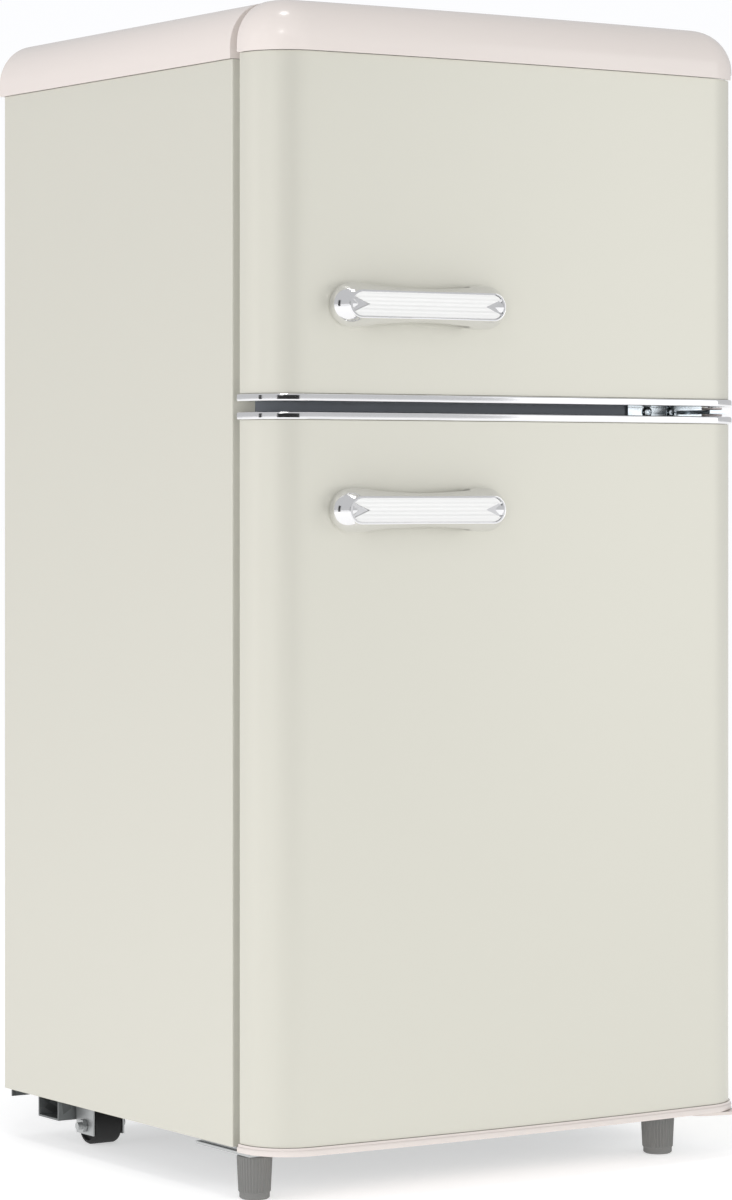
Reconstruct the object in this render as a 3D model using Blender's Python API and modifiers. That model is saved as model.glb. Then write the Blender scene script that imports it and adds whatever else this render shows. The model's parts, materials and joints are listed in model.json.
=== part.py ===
"""Retro two-door mini fridge with a top freezer, built as an assembly of separate pieces.

Every piece is modelled in cabinet coordinates: X across the front (+X on the hinge side), Y backwards
from the plane of the cabinet's front flange, Z up from the lower edge of the painted side panels.
The empty cabinet_frame carries that frame to the part's own origin, on the floor under the middle
of the whole object. Units are metres.
"""

import math

import bmesh
import bpy
from mathutils import Matrix, Vector

# Overall sizes
WIDTH = 0.440
DEPTH = 0.352
SIDE_HEIGHT = 0.798
FOOT_GAP = 0.038
CAP_HEIGHT = 0.043
CAP_OVERHANG = 0.002
CAP_REAR = 0.0045
CLEAR = 0.0003
STEEL = 0.001

# Doors
DOOR_GAP = 0.0105
DOOR_DEPTH = 0.040
DOOR_BOW = 0.0074
DOOR_CORNER = 0.035
TRIM_OVERHANG = 0.0025
FRIDGE_DOOR_Z = (-0.0025, 0.5388)
FREEZER_DOOR_Z = (0.5464, 0.8412)
FREEZER_CAP_Z = 0.8017
CHROME_HEIGHT = 0.0057
BOTTOM_TRIM_HEIGHT = 0.0063
CAP_ROUND = 0.034
CAP_LIP = 0.0065
CAP_WALL = 0.0022
HINGE_X = WIDTH / 2 - 0.018
HINGE_Y = -0.030
DOOR_SWING = math.radians(120)
PIN_RADIUS = 0.003
PIN_HOLE = 0.0037
ARM_Z = (FREEZER_CAP_Z + 0.001, FREEZER_CAP_Z + 0.004)

# Handles
HANDLE_X = -0.0965
HANDLE_REACH = 0.022
HANDLE_Z = {"freezer": 0.6173, "fridge": 0.4671}
HANDLE_BASE = (0.0750, 0.0162, 0.0130)
HANDLE_FRONT = (0.0680, 0.0106, 0.0104)
HANDLE_INSERT = (0.0655, 0.0088)
INSERT_DEPTH = 0.0022
FINGER_HALF = 0.043
FINGER_DEPTH = 0.0118

# Front frame, liners and compartments
FLANGE = 0.034
MULLION_Z = (0.512, 0.570)
MULLION_HALF = 0.200
LINER = 0.002
INNER_HALF = 0.182
INNER_BACK = 0.310
FREEZER_Z = (0.566, 0.760)
FRIDGE_Z = (0.045, 0.516)
STEP_Y = 0.194
STEP_Z = 0.224
MACHINE_Y = 0.224
MACHINE_Z = 0.196
SHELF_Z = {"crisper_cover": 0.2244, "lower_shelf": 0.322, "upper_shelf": 0.418}
GLASS = 0.004
SHELF_FRONT = 0.072
LIP_HALF = 0.205
LIP_Z = {"freezer": (0.5425, 0.785), "fridge": (0.020, 0.5395)}
FOAM_HALF = WIDTH / 2 - 0.0068
FOAM_BACK = DEPTH - 0.007
EVAPORATOR = 0.0015
COIL_BEND = 0.025
COIL_RADIUS = 0.0022
DRAWER_HALF = 0.1735
TRAY_WALL = 0.0022

# Feet and rollers
FEET = {"left": -0.2045, "right": 0.167}
FOOT_Y = -0.006
FOOT_PLATE_Z = (-0.0055, -0.0031)
ROLLER_X, ROLLER_Y = 0.175, 0.275
ROLLER_RADIUS, ROLLER_WIDTH = 0.015, 0.024
AXLE_RADIUS = 0.003
CROSSMEMBER_Y, CROSSMEMBER_Z = (0.292, 0.325), -0.0205
CROSSMEMBER_HALF = 0.2035


def door_front(x):
    """Y of a door's outer face at x."""
    return -(DOOR_GAP + DOOR_DEPTH) - DOOR_BOW * (1 - (2 * x / WIDTH) ** 2)


FRONT_REACH = HANDLE_REACH - door_front(HANDLE_X)
FACE_Y = -(DEPTH + CAP_REAR - FRONT_REACH) / 2

MATERIALS = {
    "cream_steel": ((0.69, 0.68, 0.60), 0.32, 0.0),
    "ivory_plastic": ((0.76, 0.70, 0.66), 0.30, 0.0),
    "chrome": ((0.85, 0.85, 0.86), 0.08, 1.0),
    "handle_insert": ((0.85, 0.85, 0.84), 0.25, 0.0),
    "grey_rail": ((0.30, 0.32, 0.36), 0.35, 0.6),
    "galvanised_steel": ((0.55, 0.56, 0.56), 0.45, 0.9),
    "white_plastic": ((0.86, 0.87, 0.86), 0.40, 0.0),
    "foam": ((0.85, 0.78, 0.55), 0.95, 0.0),
    "gasket": ((0.80, 0.80, 0.78), 0.70, 0.0),
    "glass": ((0.75, 0.85, 0.83), 0.05, 0.0),
    "clear_plastic": ((0.80, 0.86, 0.88), 0.15, 0.0),
    "black_steel": ((0.02, 0.02, 0.02), 0.40, 0.0),
    "black_rubber": ((0.02, 0.02, 0.02), 0.80, 0.0),
    "copper": ((0.72, 0.40, 0.25), 0.35, 1.0),
    "aluminium": ((0.75, 0.76, 0.77), 0.40, 1.0),
    "grey_plastic": ((0.22, 0.22, 0.21), 0.55, 0.0),
}


def clear_scene():
    for old in list(bpy.data.objects):
        bpy.data.objects.remove(old)


def new_collection(name):
    made = bpy.data.collections.new(name)
    bpy.context.scene.collection.children.link(made)
    return made


def make_material(name):
    colour, roughness, metallic = MATERIALS[name]
    material = bpy.data.materials.new(name)
    material.use_nodes = True
    shader = material.node_tree.nodes["Principled BSDF"]
    shader.inputs["Base Color"].default_value = (*colour, 1)
    shader.inputs["Roughness"].default_value = roughness
    shader.inputs["Metallic"].default_value = metallic
    return material


def make_empty(name, location, parent=None):
    empty = bpy.data.objects.new(name, None)
    empty.location = location
    empty.parent = parent
    PARTS.objects.link(empty)
    return empty


clear_scene()
PARTS = new_collection("mini_fridge")
CUTTERS = new_collection("cutters")
MATERIAL = {name: make_material(name) for name in MATERIALS}
FRAME = make_empty("cabinet_frame", (0, FACE_Y, FOOT_GAP))


def attach(obj, holder=None):
    """Parents obj to a joint's empty, or to the cabinet frame, its geometry still in cabinet coordinates."""
    holder = holder or FRAME
    obj.parent = holder
    if holder is not FRAME:
        obj.matrix_parent_inverse = Matrix.Translation(-holder.location)
    return obj


def finish(name, bm, material, holder=None, smooth=None):
    """Turns a bmesh into a named object: a part, or a hidden cutter where material is None."""
    mesh = bpy.data.meshes.new(name)
    bmesh.ops.recalc_face_normals(bm, faces=bm.faces)
    bm.to_mesh(mesh)
    bm.free()
    obj = bpy.data.objects.new(name, mesh)
    if material is None:
        CUTTERS.objects.link(obj)
        obj.hide_render = True
        obj.display_type = "WIRE"
    else:
        PARTS.objects.link(obj)
        mesh.materials.append(MATERIAL[material])
    if smooth is not None:
        mesh.shade_smooth()
        mesh.set_sharp_from_angle(angle=math.radians(smooth))
    return attach(obj, holder)


def box(name, x, y, z, material, holder=None):
    bm = bmesh.new()
    bmesh.ops.create_cube(bm, size=1)
    size = Vector((x[1] - x[0], y[1] - y[0], z[1] - z[0]))
    centre = Vector((x[0] + x[1], y[0] + y[1], z[0] + z[1])) / 2
    bmesh.ops.scale(bm, vec=size, verts=bm.verts)
    bmesh.ops.translate(bm, vec=centre, verts=bm.verts)
    return finish(name, bm, material, holder)


def cylinder(name, radius, centre, length, axis, material, holder=None, sides=24):
    """A cylinder about centre, along axis X, Y or Z."""
    bm = bmesh.new()
    bmesh.ops.create_cone(
        bm, cap_ends=True, segments=sides, radius1=radius, radius2=radius, depth=length
    )
    turn = {
        "X": Matrix.Rotation(math.pi / 2, 3, "Y"), "Y": Matrix.Rotation(-math.pi / 2, 3, "X"),
        "Z": Matrix()
    }
    bmesh.ops.transform(bm, matrix=turn[axis].to_4x4(), verts=bm.verts)
    bmesh.ops.translate(bm, vec=centre, verts=bm.verts)
    return finish(name, bm, material, holder, smooth=40)


def cut(target, *tools):
    for tool in tools:
        modifier = target.modifiers.new("cut_" + tool.name, "BOOLEAN")
        modifier.operation = "DIFFERENCE"
        modifier.object = tool
    return target


def join(target, *tools):
    for tool in tools:
        modifier = target.modifiers.new("join_" + tool.name, "BOOLEAN")
        modifier.operation = "UNION"
        modifier.object = tool
    return target


def bevel(obj, width, segments=2, angle=40):
    modifier = obj.modifiers.new("edge", "BEVEL")
    modifier.width = width
    modifier.segments = segments
    modifier.limit_method = "ANGLE"
    modifier.angle_limit = math.radians(angle)
    return obj


def extrude(bm, edges_or_faces, vector):
    """Extrudes a bmesh region along vector."""
    made = bmesh.ops.extrude_face_region(bm, geom=edges_or_faces)
    moved = [v for v in made["geom"] if isinstance(v, bmesh.types.BMVert)]
    bmesh.ops.translate(bm, vec=vector, verts=moved)


def prism(name, outline, start, end, plane, material, holder=None, smooth=None):
    """A closed outline in the XY, XZ or YZ plane, extruded along the third axis from start to end."""
    place = {
        "XY": lambda a, b: (a, b, start),
        "XZ": lambda a, b: (a, start, b),
        "YZ": lambda a, b: (start, a, b),
    }[plane]
    along = {"XY": (0, 0, 1), "XZ": (0, 1, 0), "YZ": (1, 0, 0)}[plane]
    bm = bmesh.new()
    face = bm.faces.new([bm.verts.new(place(a, b)) for a, b in outline])
    extrude(bm, [face], Vector(along) * (end - start))
    return finish(name, bm, material, holder, smooth)


def strip(name, path, start, end, plane, thickness, material, holder=None, side=-1, smooth=40):
    """Sheet metal: an open path in the XY or YZ plane, extruded along the third axis and thickened."""
    bm = bmesh.new()
    place = {"XY": lambda a, b: (a, b, start), "YZ": lambda a, b: (start, a, b)}[plane]
    along = {"XY": Vector((0, 0, 1)), "YZ": Vector((1, 0, 0))}[plane]
    verts = [bm.verts.new(place(a, b)) for a, b in path]
    edges = [bm.edges.new(pair) for pair in zip(verts, verts[1:])]
    made = bmesh.ops.extrude_edge_only(bm, edges=edges)
    moved = [v for v in made["geom"] if isinstance(v, bmesh.types.BMVert)]
    bmesh.ops.translate(bm, vec=along * (end - start), verts=moved)
    obj = finish(name, bm, material, holder, smooth)
    modifier = obj.modifiers.new("sheet", "SOLIDIFY")
    modifier.thickness = thickness
    modifier.offset = side
    modifier.use_even_offset = True
    return obj


def rounded(path, radius, steps=4):
    """The path with each inner corner replaced by an arc that starts and ends radius before and after it."""
    points = [path[0]]
    for before, corner, after in zip(path, path[1:], path[2:]):
        corner = Vector(corner)
        a = corner + (Vector(before) - corner).normalized() * radius
        b = corner + (Vector(after) - corner).normalized() * radius
        centre = a + b - corner
        for k in range(steps + 1):
            t = k / steps * math.pi / 2
            points.append(tuple(centre + (a - centre) * math.cos(t) + (b - centre) * math.sin(t)))
    points.append(path[-1])
    return points


def door_plan(inset, corner_steps=8, front_steps=14, rear=-DOOR_GAP):
    """Plan of a door moved inwards by inset, from its rear left, round the bowed front, to its rear right."""
    half = WIDTH / 2 - inset
    front = -(DOOR_GAP + DOOR_DEPTH) + inset
    radius = max(DOOR_CORNER - inset, 0.001)
    left = [(-half, rear)]
    for k in range(corner_steps + 1):
        t = k / corner_steps * math.pi / 2
        left.append((-half + radius * (1 - math.cos(t)), front + radius * (1 - math.sin(t))))
    reach = half - radius
    middle = [(-reach + 2 * reach * k / front_steps, front) for k in range(1, front_steps)]
    plan = left + middle + [(-x, y) for x, y in reversed(left)]
    return [(x, y if y == rear else y - DOOR_BOW * (1 - (x / half) ** 2)) for x, y in plan]


def loft(name, rings, material, holder=None, smooth=None):
    """A closed body through rings, each a (plan, height) pair with the same number of points."""
    bm = bmesh.new()
    loops = [[bm.verts.new((x, y, z)) for x, y in plan] for plan, z in rings]
    for low, high in zip(loops, loops[1:]):
        for k in range(len(low)):
            n = (k + 1) % len(low)
            bm.faces.new((low[k], low[n], high[n], high[k]))
    bm.faces.new(loops[0][::-1])
    bm.faces.new(loops[-1])
    return finish(name, bm, material, holder, smooth)


def loft_xz(name, rings, material, holder=None, smooth=None):
    """A closed body through upright rings, each an (outline, y) pair with the same number of points."""
    obj = loft(name, rings, material, holder, smooth)
    obj.data.transform(Matrix(((1, 0, 0, 0), (0, 0, 1, 0), (0, 1, 0, 0), (0, 0, 0, 1))))
    obj.data.flip_normals()
    return obj


def round_profile(overhang, wall, lip, radius, top, steps=7):
    """Half section of the cap, from its lip to its flat top: (distance from the side plane, height)."""
    points = [(overhang - wall, 0)]
    for k in range(steps + 1):
        t = k / steps * math.pi / 2
        points.append(
            (overhang - radius * (1 - math.cos(t)) - wall * math.cos(t), lip + (top - lip - wall) * math.sin(t))
        )
    return points


# ---------------------------------------------------------------- cabinet


def side_panels():
    """Painted steel sides: front flange, side and short rear flange in one bent sheet."""
    path = [(WIDTH / 2 - FLANGE, 0), (WIDTH / 2, 0), (WIDTH / 2, DEPTH), (WIDTH / 2 - 0.015, DEPTH)]
    path = rounded(path, 0.0012, 3)
    for name, sign in (("left_side_panel", -1), ("right_side_panel", 1)):
        points = [(sign * x, y) for x, y in path]
        panel = strip(name, points, 0, SIDE_HEIGHT, "XY", STEEL, "cream_steel")
        edge = sign * (MULLION_HALF + CLEAR)
        inner = sign * (WIDTH / 2 - FLANGE - 0.01)
        notch = box(
            name + "_mullion_notch",
            sorted((edge, inner)),
            (-0.005, 0.0045),
            (MULLION_Z[0] - CLEAR, MULLION_Z[1] + CLEAR),
            None,
        )
        cut(panel, notch)


def roof_panel():
    inner = WIDTH / 2 - FLANGE - CLEAR
    top = SIDE_HEIGHT - CLEAR
    plate_half = WIDTH / 2 - STEEL - CLEAR
    plate = box(
        "roof_panel", (-plate_half, plate_half), (STEEL + CLEAR, DEPTH - STEEL - CLEAR),
        (top - STEEL, top), "galvanised_steel"
    )
    flange = box("roof_flange", (-inner, inner), (0, STEEL), (SIDE_HEIGHT - FLANGE, top), None)
    bridge = box("roof_bridge", (-inner, inner), (STEEL / 2, 0.005), (top - STEEL, top), None)
    join(plate, bridge, flange)


def back_panel():
    half = WIDTH / 2 - 0.015 - CLEAR
    panel = box(
        "back_panel", (-half, half), (DEPTH - STEEL, DEPTH - CLEAR / 3),
        (MACHINE_Z + 0.002, SIDE_HEIGHT - CLEAR), "galvanised_steel"
    )
    hole = cylinder("gland_hole", 0.008, (0.150, DEPTH, MACHINE_Z + 0.022), 0.02, "Y", None)
    cut(panel, hole)


def base_panel():
    """Floor pan with its front flange and the step over the machine compartment."""
    path = [
        (0, FRIDGE_Z[0] - 0.003), (0, 0), (MACHINE_Y, 0), (MACHINE_Y, MACHINE_Z),
        (DEPTH - STEEL - CLEAR, MACHINE_Z)
    ]
    half = WIDTH / 2 - STEEL - CLEAR
    pan = strip("base_panel", path, -half, half, "YZ", STEEL, "galvanised_steel", side=1, smooth=None)
    for sign in (-1, 1):
        inner = sign * (WIDTH / 2 - FLANGE - CLEAR)
        cut(
            pan,
            box(f"pan_corner_{sign}", sorted((inner, sign * WIDTH)), (-0.01, STEEL + CLEAR), (-0.01, 0.1), None)
        )


def cavity(name, grow, front):
    """Cutters for the room inside a liner, grown on every side: one box, or two for the fridge."""
    x = (-INNER_HALF - grow, INNER_HALF + grow)
    if name == "freezer":
        z = (FREEZER_Z[0] - grow, FREEZER_Z[1] + grow)
        return [box("freezer_room", x, (front, INNER_BACK + grow), z, None)]
    upper = box("fridge_room_upper", x, (front, INNER_BACK + grow), (STEP_Z - grow, FRIDGE_Z[1] + grow), None)
    lower = box("fridge_room_lower", x, (front, STEP_Y + grow), (FRIDGE_Z[0] - grow, STEP_Z + 0.01), None)
    return [upper, lower]


def liner(name):
    """Vacuum-formed inner box with a lip that hooks behind the steel front frame."""
    lip_y = (STEEL + CLEAR, STEEL + CLEAR + LINER)
    shell = box(name + "_liner", (-LIP_HALF, LIP_HALF), lip_y, LIP_Z[name], "white_plastic")
    join(shell, *cavity(name, LINER, lip_y[0] + LINER / 2))
    if name == "fridge":
        ledges = []
        for shelf in ("lower_shelf", "upper_shelf"):
            top = SHELF_Z[shelf] - CLEAR
            for sign in (-1, 1):
                x = sorted((sign * (INNER_HALF - 0.005), sign * (INNER_HALF + LINER)))
                ledges.append(
                    box(f"ledge_{shelf}_{sign}", x, (SHELF_FRONT, INNER_BACK - 0.01), (top - 0.004, top), None)
                )
        cut(shell, *cavity(name, 0, -0.01))
        join(shell, *ledges)
    else:
        cut(shell, *cavity(name, 0, -0.01))


def cabinet_foam():
    front = STEEL + 2 * CLEAR + LINER
    corners = [(-FOAM_HALF, front), (-FOAM_HALF, FOAM_BACK), (FOAM_HALF, FOAM_BACK), (FOAM_HALF, front)]
    plan = rounded(corners, COIL_BEND + 0.003, 5)
    foam = prism("cabinet_foam", plan, STEEL + CLEAR, SIDE_HEIGHT - STEEL - 2 * CLEAR, "XY", "foam")
    bay = box(
        "machine_bay", (-0.3, 0.3), (MACHINE_Y - STEEL - CLEAR, 0.4),
        (-0.01, MACHINE_Z + STEEL + CLEAR), None
    )
    sleeve = LINER + EVAPORATOR + 2 * CLEAR
    cut(foam, bay, *cavity("freezer", sleeve, -0.01), *cavity("fridge", LINER + CLEAR, -0.01))


def freezer_evaporator():
    """Aluminium sleeve wrapped round the freezer liner."""
    inner = LINER + CLEAR
    outer = inner + EVAPORATOR
    y = (0.030, 0.300)
    sleeve = box(
        "freezer_evaporator", (-INNER_HALF - outer, INNER_HALF + outer), y,
        (FREEZER_Z[0] - outer, FREEZER_Z[1] + outer), "aluminium"
    )
    room = box(
        "evaporator_room", (-INNER_HALF - inner, INNER_HALF + inner), (0, 0.4),
        (FREEZER_Z[0] - inner, FREEZER_Z[1] + inner), None
    )
    cut(sleeve, room)


def tube(name, points, radius, material, holder=None, resolution=2, smooth_path=False):
    """A round tube along points: a poly curve with filled caps."""
    curve = bpy.data.curves.new(name, "CURVE")
    curve.dimensions = "3D"
    curve.bevel_depth = radius
    curve.bevel_resolution = resolution
    curve.use_fill_caps = True
    curve.twist_mode = "MINIMUM"
    spline = curve.splines.new("POLY")
    spline.points.add(len(points) - 1)
    for point, place in zip(spline.points, points):
        point.co = (*place, 1)
    curve.materials.append(MATERIAL[material])
    obj = bpy.data.objects.new(name, curve)
    PARTS.objects.link(obj)
    return attach(obj, holder)


def condenser_coil():
    """Hot-wall condenser: one tube that winds between the foam and the sides and back, pass above pass."""
    side = WIDTH / 2 - STEEL - 0.0029
    back = DEPTH - STEEL - 0.0030
    bend = COIL_BEND
    low, pitch, passes = 0.24, 0.10, 6
    points = []
    for k in range(passes):
        z = low + k * pitch
        run = [(-side, 0.03), (-side, back - bend)]
        for step in range(1, 5):
            t = step / 5 * math.pi / 2
            run.append((-side + bend * (1 - math.cos(t)), back - bend * (1 - math.sin(t))))
        run.append((-side + bend, back))
        run += [(-x, y) for x, y in reversed(run)]
        if k % 2:
            run.reverse()
        if k:
            x, y = run[0]
            rise = [(x, y - 0.012, z - pitch + 0.012), (x, y - 0.012, z - 0.012)]
            points += rise
        points += [(x, y, z) for x, y in run]
    tube("condenser_coil", points, COIL_RADIUS, "copper", resolution=1)


def mullion_rail():
    box("mullion_rail", (-MULLION_HALF, MULLION_HALF), (0, STEEL), MULLION_Z, "grey_rail")


def top_cap():
    """Moulded plastic cover with rounded shoulders, open underneath."""
    overhang = CAP_OVERHANG
    outer = round_profile(overhang, 0, CAP_LIP, CAP_ROUND, CAP_HEIGHT)
    inner = round_profile(overhang, CAP_WALL, CAP_LIP, CAP_ROUND, CAP_HEIGHT)

    def outline(profile, foot):
        right = [(WIDTH / 2 + out, SIDE_HEIGHT + foot + up) for out, up in profile]
        right[0] = (right[0][0], SIDE_HEIGHT + (CLEAR if foot == 0 else -0.01))
        return right + [(-x, z) for x, z in reversed(right)]

    rear = DEPTH + CAP_REAR
    cap = prism("top_cap", outline(outer, 0), 0, rear, "XZ", "ivory_plastic", smooth=40)
    room = prism("cap_room", outline(inner, 0.0001), CAP_WALL, rear - CAP_WALL, "XZ", None)
    slot = box(
        "hinge_slot", (HINGE_X - 0.009, HINGE_X + 0.009), (-0.01, 0.01),
        (ARM_Z[0] - 0.001, ARM_Z[1] + 0.001), None
    )
    cut(cap, room, slot)


# ---------------------------------------------------------------- undercarriage


def crossmember_and_tray():
    half = WIDTH / 2 - 0.006
    tray_z = (-0.0018, -CLEAR)
    tray = box(
        "compressor_tray", (-half, half), (MACHINE_Y + 0.002, DEPTH - STEEL), tray_z,
        "galvanised_steel"
    )
    lip = box("tray_lip", (-half, half), (DEPTH - 0.0025, DEPTH - STEEL), (-0.007, tray_z[1]), None)
    join(tray, lip)
    top = tray_z[0] - CLEAR
    y, z = CROSSMEMBER_Y, (CROSSMEMBER_Z, top)
    wall = 0.0015
    beam = box("rear_crossmember", (-CROSSMEMBER_HALF, CROSSMEMBER_HALF), y, z, "galvanised_steel")
    hollow = box("beam_hollow", (-WIDTH, WIDTH), (y[0] + wall, y[1] - wall), (z[0] + wall, z[1] - wall), None)
    cut(beam, hollow)


def rear_rollers():
    axle_z = -FOOT_GAP + ROLLER_RADIUS
    ear = 0.0015
    for name, sign in (("left", -1), ("right", 1)):
        x = sign * ROLLER_X
        inner = ROLLER_WIDTH / 2 + 0.0008
        top = -0.0018 - CLEAR
        y = (ROLLER_Y - 0.0135, ROLLER_Y + 0.0135)
        outer = inner + ear
        bracket = box(
            f"{name}_roller_bracket", (x - outer, x + outer), y, (axle_z - 0.007, top),
            "galvanised_steel"
        )
        room = box(
            f"{name}_bracket_room", (x - inner, x + inner), (y[0] - 0.01, y[1] + 0.01),
            (-0.06, top - 0.0012), None
        )
        bore = cylinder(
            f"{name}_bracket_bore", AXLE_RADIUS + 0.0004, (x, ROLLER_Y, axle_z), 0.06, "X", None,
            sides=16
        )
        cut(bracket, room, bore)
        axis = make_empty(f"{name}_roller_axis", (x, ROLLER_Y, axle_z), FRAME)
        roller = cylinder(
            f"{name}_roller", ROLLER_RADIUS, (x, ROLLER_Y, axle_z), ROLLER_WIDTH, "X",
            "black_rubber", axis, sides=32
        )
        bevel(roller, 0.0015, 2)
        cut(
            roller,
            cylinder(f"{name}_roller_bore", AXLE_RADIUS + 0.0006, (x, ROLLER_Y, axle_z), 0.06, "X", None, sides=16)
        )
        axle = cylinder(
            f"{name}_roller_axle", AXLE_RADIUS, (x, ROLLER_Y, axle_z), 2 * outer + 0.014, "X",
            "galvanised_steel", sides=16
        )
        for end in (-1, 1):
            place = (x + end * (outer + CLEAR + 0.0015), ROLLER_Y, axle_z)
            join(axle, cylinder(f"{name}_axle_nut_{end}", 0.0055, place, 0.003, "X", None, sides=6))


def turned(name, profile, centre, material, holder=None, steps=24, axis="Z"):
    """A turned piece: (radius, height) points from top to bottom, spun about an axis through centre."""
    bm = bmesh.new()
    verts = [bm.verts.new((r, 0, h)) for r, h in profile]
    for pair in zip(verts, verts[1:]):
        bm.edges.new(pair)
    mesh = bpy.data.meshes.new(name)
    bm.to_mesh(mesh)
    bm.free()
    obj = bpy.data.objects.new(name, mesh)
    if material is None:
        CUTTERS.objects.link(obj)
        obj.hide_render = True
        obj.display_type = "WIRE"
    else:
        PARTS.objects.link(obj)
        mesh.materials.append(MATERIAL[material])
    screw = obj.modifiers.new("spin", "SCREW")
    screw.steps = screw.render_steps = steps
    screw.use_merge_vertices = True
    screw.merge_threshold = 0.00001
    obj.location = centre
    if axis == "Y":
        obj.rotation_euler = (math.radians(-90), 0, 0)
    attach(obj, holder)
    return obj


def front_feet():
    """Levelling feet: a ribbed foot on a threaded stud, which screws up through its plate."""
    top = FOOT_PLATE_Z[0] - 0.0005
    stud = 0.0038
    profile = [
        (0, 0.006),
        (stud - 0.0005, 0.006),
        (stud, 0.0055),
        (stud, top),
        (0.0128, top),
        (0.0132, top - 0.001),
        (0.0120, -FOOT_GAP + 0.0055),
        (0.0112, -FOOT_GAP + 0.0048),
        (0.0112, -FOOT_GAP + 0.001),
        (0.0102, -FOOT_GAP),
        (0, -FOOT_GAP),
    ]
    for name, x in FEET.items():
        place = (x, FOOT_Y, 0)
        axis = make_empty(f"{name}_foot_axis", place, FRAME)
        turned(f"{name}_foot", profile, place, "grey_plastic", axis)
    bracket = box(
        "left_foot_bracket", (-0.217, -0.186), (FOOT_Y - 0.013, 0.057), FOOT_PLATE_Z,
        "galvanised_steel"
    )
    pad = box("left_bracket_pad", (-0.214, -0.190), (0.004, 0.055), (FOOT_PLATE_Z[0] + 0.001, -CLEAR), None)
    join(bracket, pad)
    cut(bracket, cylinder("left_stud_hole", stud + 0.0004, (FEET["left"], FOOT_Y, 0), 0.05, "Z", None))


# ---------------------------------------------------------------- hinges


def hinges():
    """Three brackets, each with its pin riveted in, on one vertical axis."""
    lower_z = FOOT_PLATE_Z
    lower = box("lower_hinge", (0.145, 0.216), (HINGE_Y - 0.009, 0.057), lower_z, "galvanised_steel")
    pad = box("lower_hinge_pad", (0.149, 0.212), (0.004, 0.055), (lower_z[0] + 0.001, -CLEAR), None)
    pin_top = BOTTOM_TRIM_HEIGHT + FRIDGE_DOOR_Z[0] - 0.0005
    pin_z = (lower_z[0] + 0.001, pin_top)
    pin = cylinder(
        "lower_pin", PIN_RADIUS, (HINGE_X, HINGE_Y, sum(pin_z) / 2), pin_z[1] - pin_z[0], "Z", None,
        sides=16
    )
    stud_hole = cylinder("right_stud_hole", 0.0042, (FEET["right"], FOOT_Y, 0), 0.05, "Z", None)
    join(lower, pad, pin)
    cut(lower, stud_hole)

    middle = (FRIDGE_DOOR_Z[1] + FREEZER_DOOR_Z[0]) / 2
    flange = box(
        "middle_hinge", (0.141, 0.214), (-0.0021, -0.0005), (middle - 0.0075, middle + 0.0075),
        "galvanised_steel"
    )
    arm = box(
        "middle_arm", (0.193, 0.211), (HINGE_Y - 0.009, -0.001), (middle - 0.0015, middle + 0.0015),
        None
    )
    low, high = FRIDGE_DOOR_Z[1] - CHROME_HEIGHT + 0.0005, FREEZER_DOOR_Z[0] + CHROME_HEIGHT - 0.0005
    pin = cylinder(
        "middle_pin", PIN_RADIUS, (HINGE_X, HINGE_Y, (low + high) / 2), high - low, "Z", None,
        sides=16
    )
    join(flange, arm, pin)
    for name, x in (("left", 0.1595), ("right", 0.1835)):
        cut(flange, cylinder(f"flange_hole_{name}", 0.0023, (x, 0, middle), 0.02, "Y", None, sides=12))
        screw = cylinder(
            f"middle_hinge_screw_{name}", 0.0042, (x, -0.0036, middle), 0.0024, "Y",
            "galvanised_steel", sides=20
        )
        bevel(screw, 0.0006, 2)
        shank = cylinder(f"shank_{name}", 0.0019, (x, -0.0015, middle), 0.0026, "Y", None, sides=12)
        join(screw, shank)
        for k, size in enumerate(((0.0040, 0.0008), (0.0008, 0.0040))):
            half_x, half_z = size[0] / 2, size[1] / 2
            slot = box(
                f"cross_{name}_{k}", (x - half_x, x + half_x), (-0.006, -0.0036),
                (middle - half_z, middle + half_z), None
            )
            cut(screw, slot)

    top = box(
        "top_hinge", (HINGE_X - 0.0075, HINGE_X + 0.0075), (HINGE_Y - 0.0075, 0.070), ARM_Z,
        "galvanised_steel"
    )
    seat = box("top_hinge_seat", (0.176, 0.213), (0.012, 0.070), (SIDE_HEIGHT + CLEAR / 2, ARM_Z[1]), None)
    pin = cylinder("top_pin", PIN_RADIUS, (HINGE_X, HINGE_Y, ARM_Z[0] - 0.005), 0.013, "Z", None, sides=16)
    join(top, seat, pin)


# ---------------------------------------------------------------- machine compartment


def compressor():
    """Hermetic compressor: domed shell with its weld flange, standing on a mounting plate."""
    place = Vector((0.045, 0.288, 0))
    radius, low, high = 0.052, 0.016, 0.160
    seam = 0.082
    profile = [(0, high)]
    for k in range(1, 7):
        t = k / 6 * math.pi / 2
        profile.append((radius * math.sin(t), high - 0.034 * (1 - math.cos(t))))
    profile += [
        (radius, seam + 0.002), (radius + 0.005, seam + 0.002), (radius + 0.005, seam - 0.002),
        (radius - 0.001, seam - 0.002)
    ]
    for k in range(6):
        t = k / 6 * math.pi / 2
        profile.append(((radius - 0.001) * math.cos(t), low + 0.030 - 0.030 * math.sin(t)))
    profile.append((0, low))
    shell = turned("compressor", profile, place, "black_steel", steps=32)
    shell.scale = (1.12, 0.96, 1)
    plate = box(
        "compressor_plate", (place.x - 0.085, place.x + 0.085), (place.y - 0.045, place.y + 0.045),
        (0.0085, 0.020), None
    )
    join(shell, plate)
    for dx in (-0.072, 0.072):
        for dy in (-0.034, 0.034):
            where = (place.x + dx, place.y + dy, 0.0050)
            join(shell, cylinder(f"mount_{dx}_{dy}", 0.010, where, 0.0096, "Z", None, sides=16))
    pan = box(
        "drip_pan", (place.x - 0.070, place.x + 0.070), (0.236, 0.336), (0.1625, 0.184),
        "white_plastic"
    )
    hollow = box("pan_hollow", (place.x - 0.068, place.x + 0.068), (0.238, 0.334), (0.1645, 0.2), None)
    cut(pan, hollow)


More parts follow.
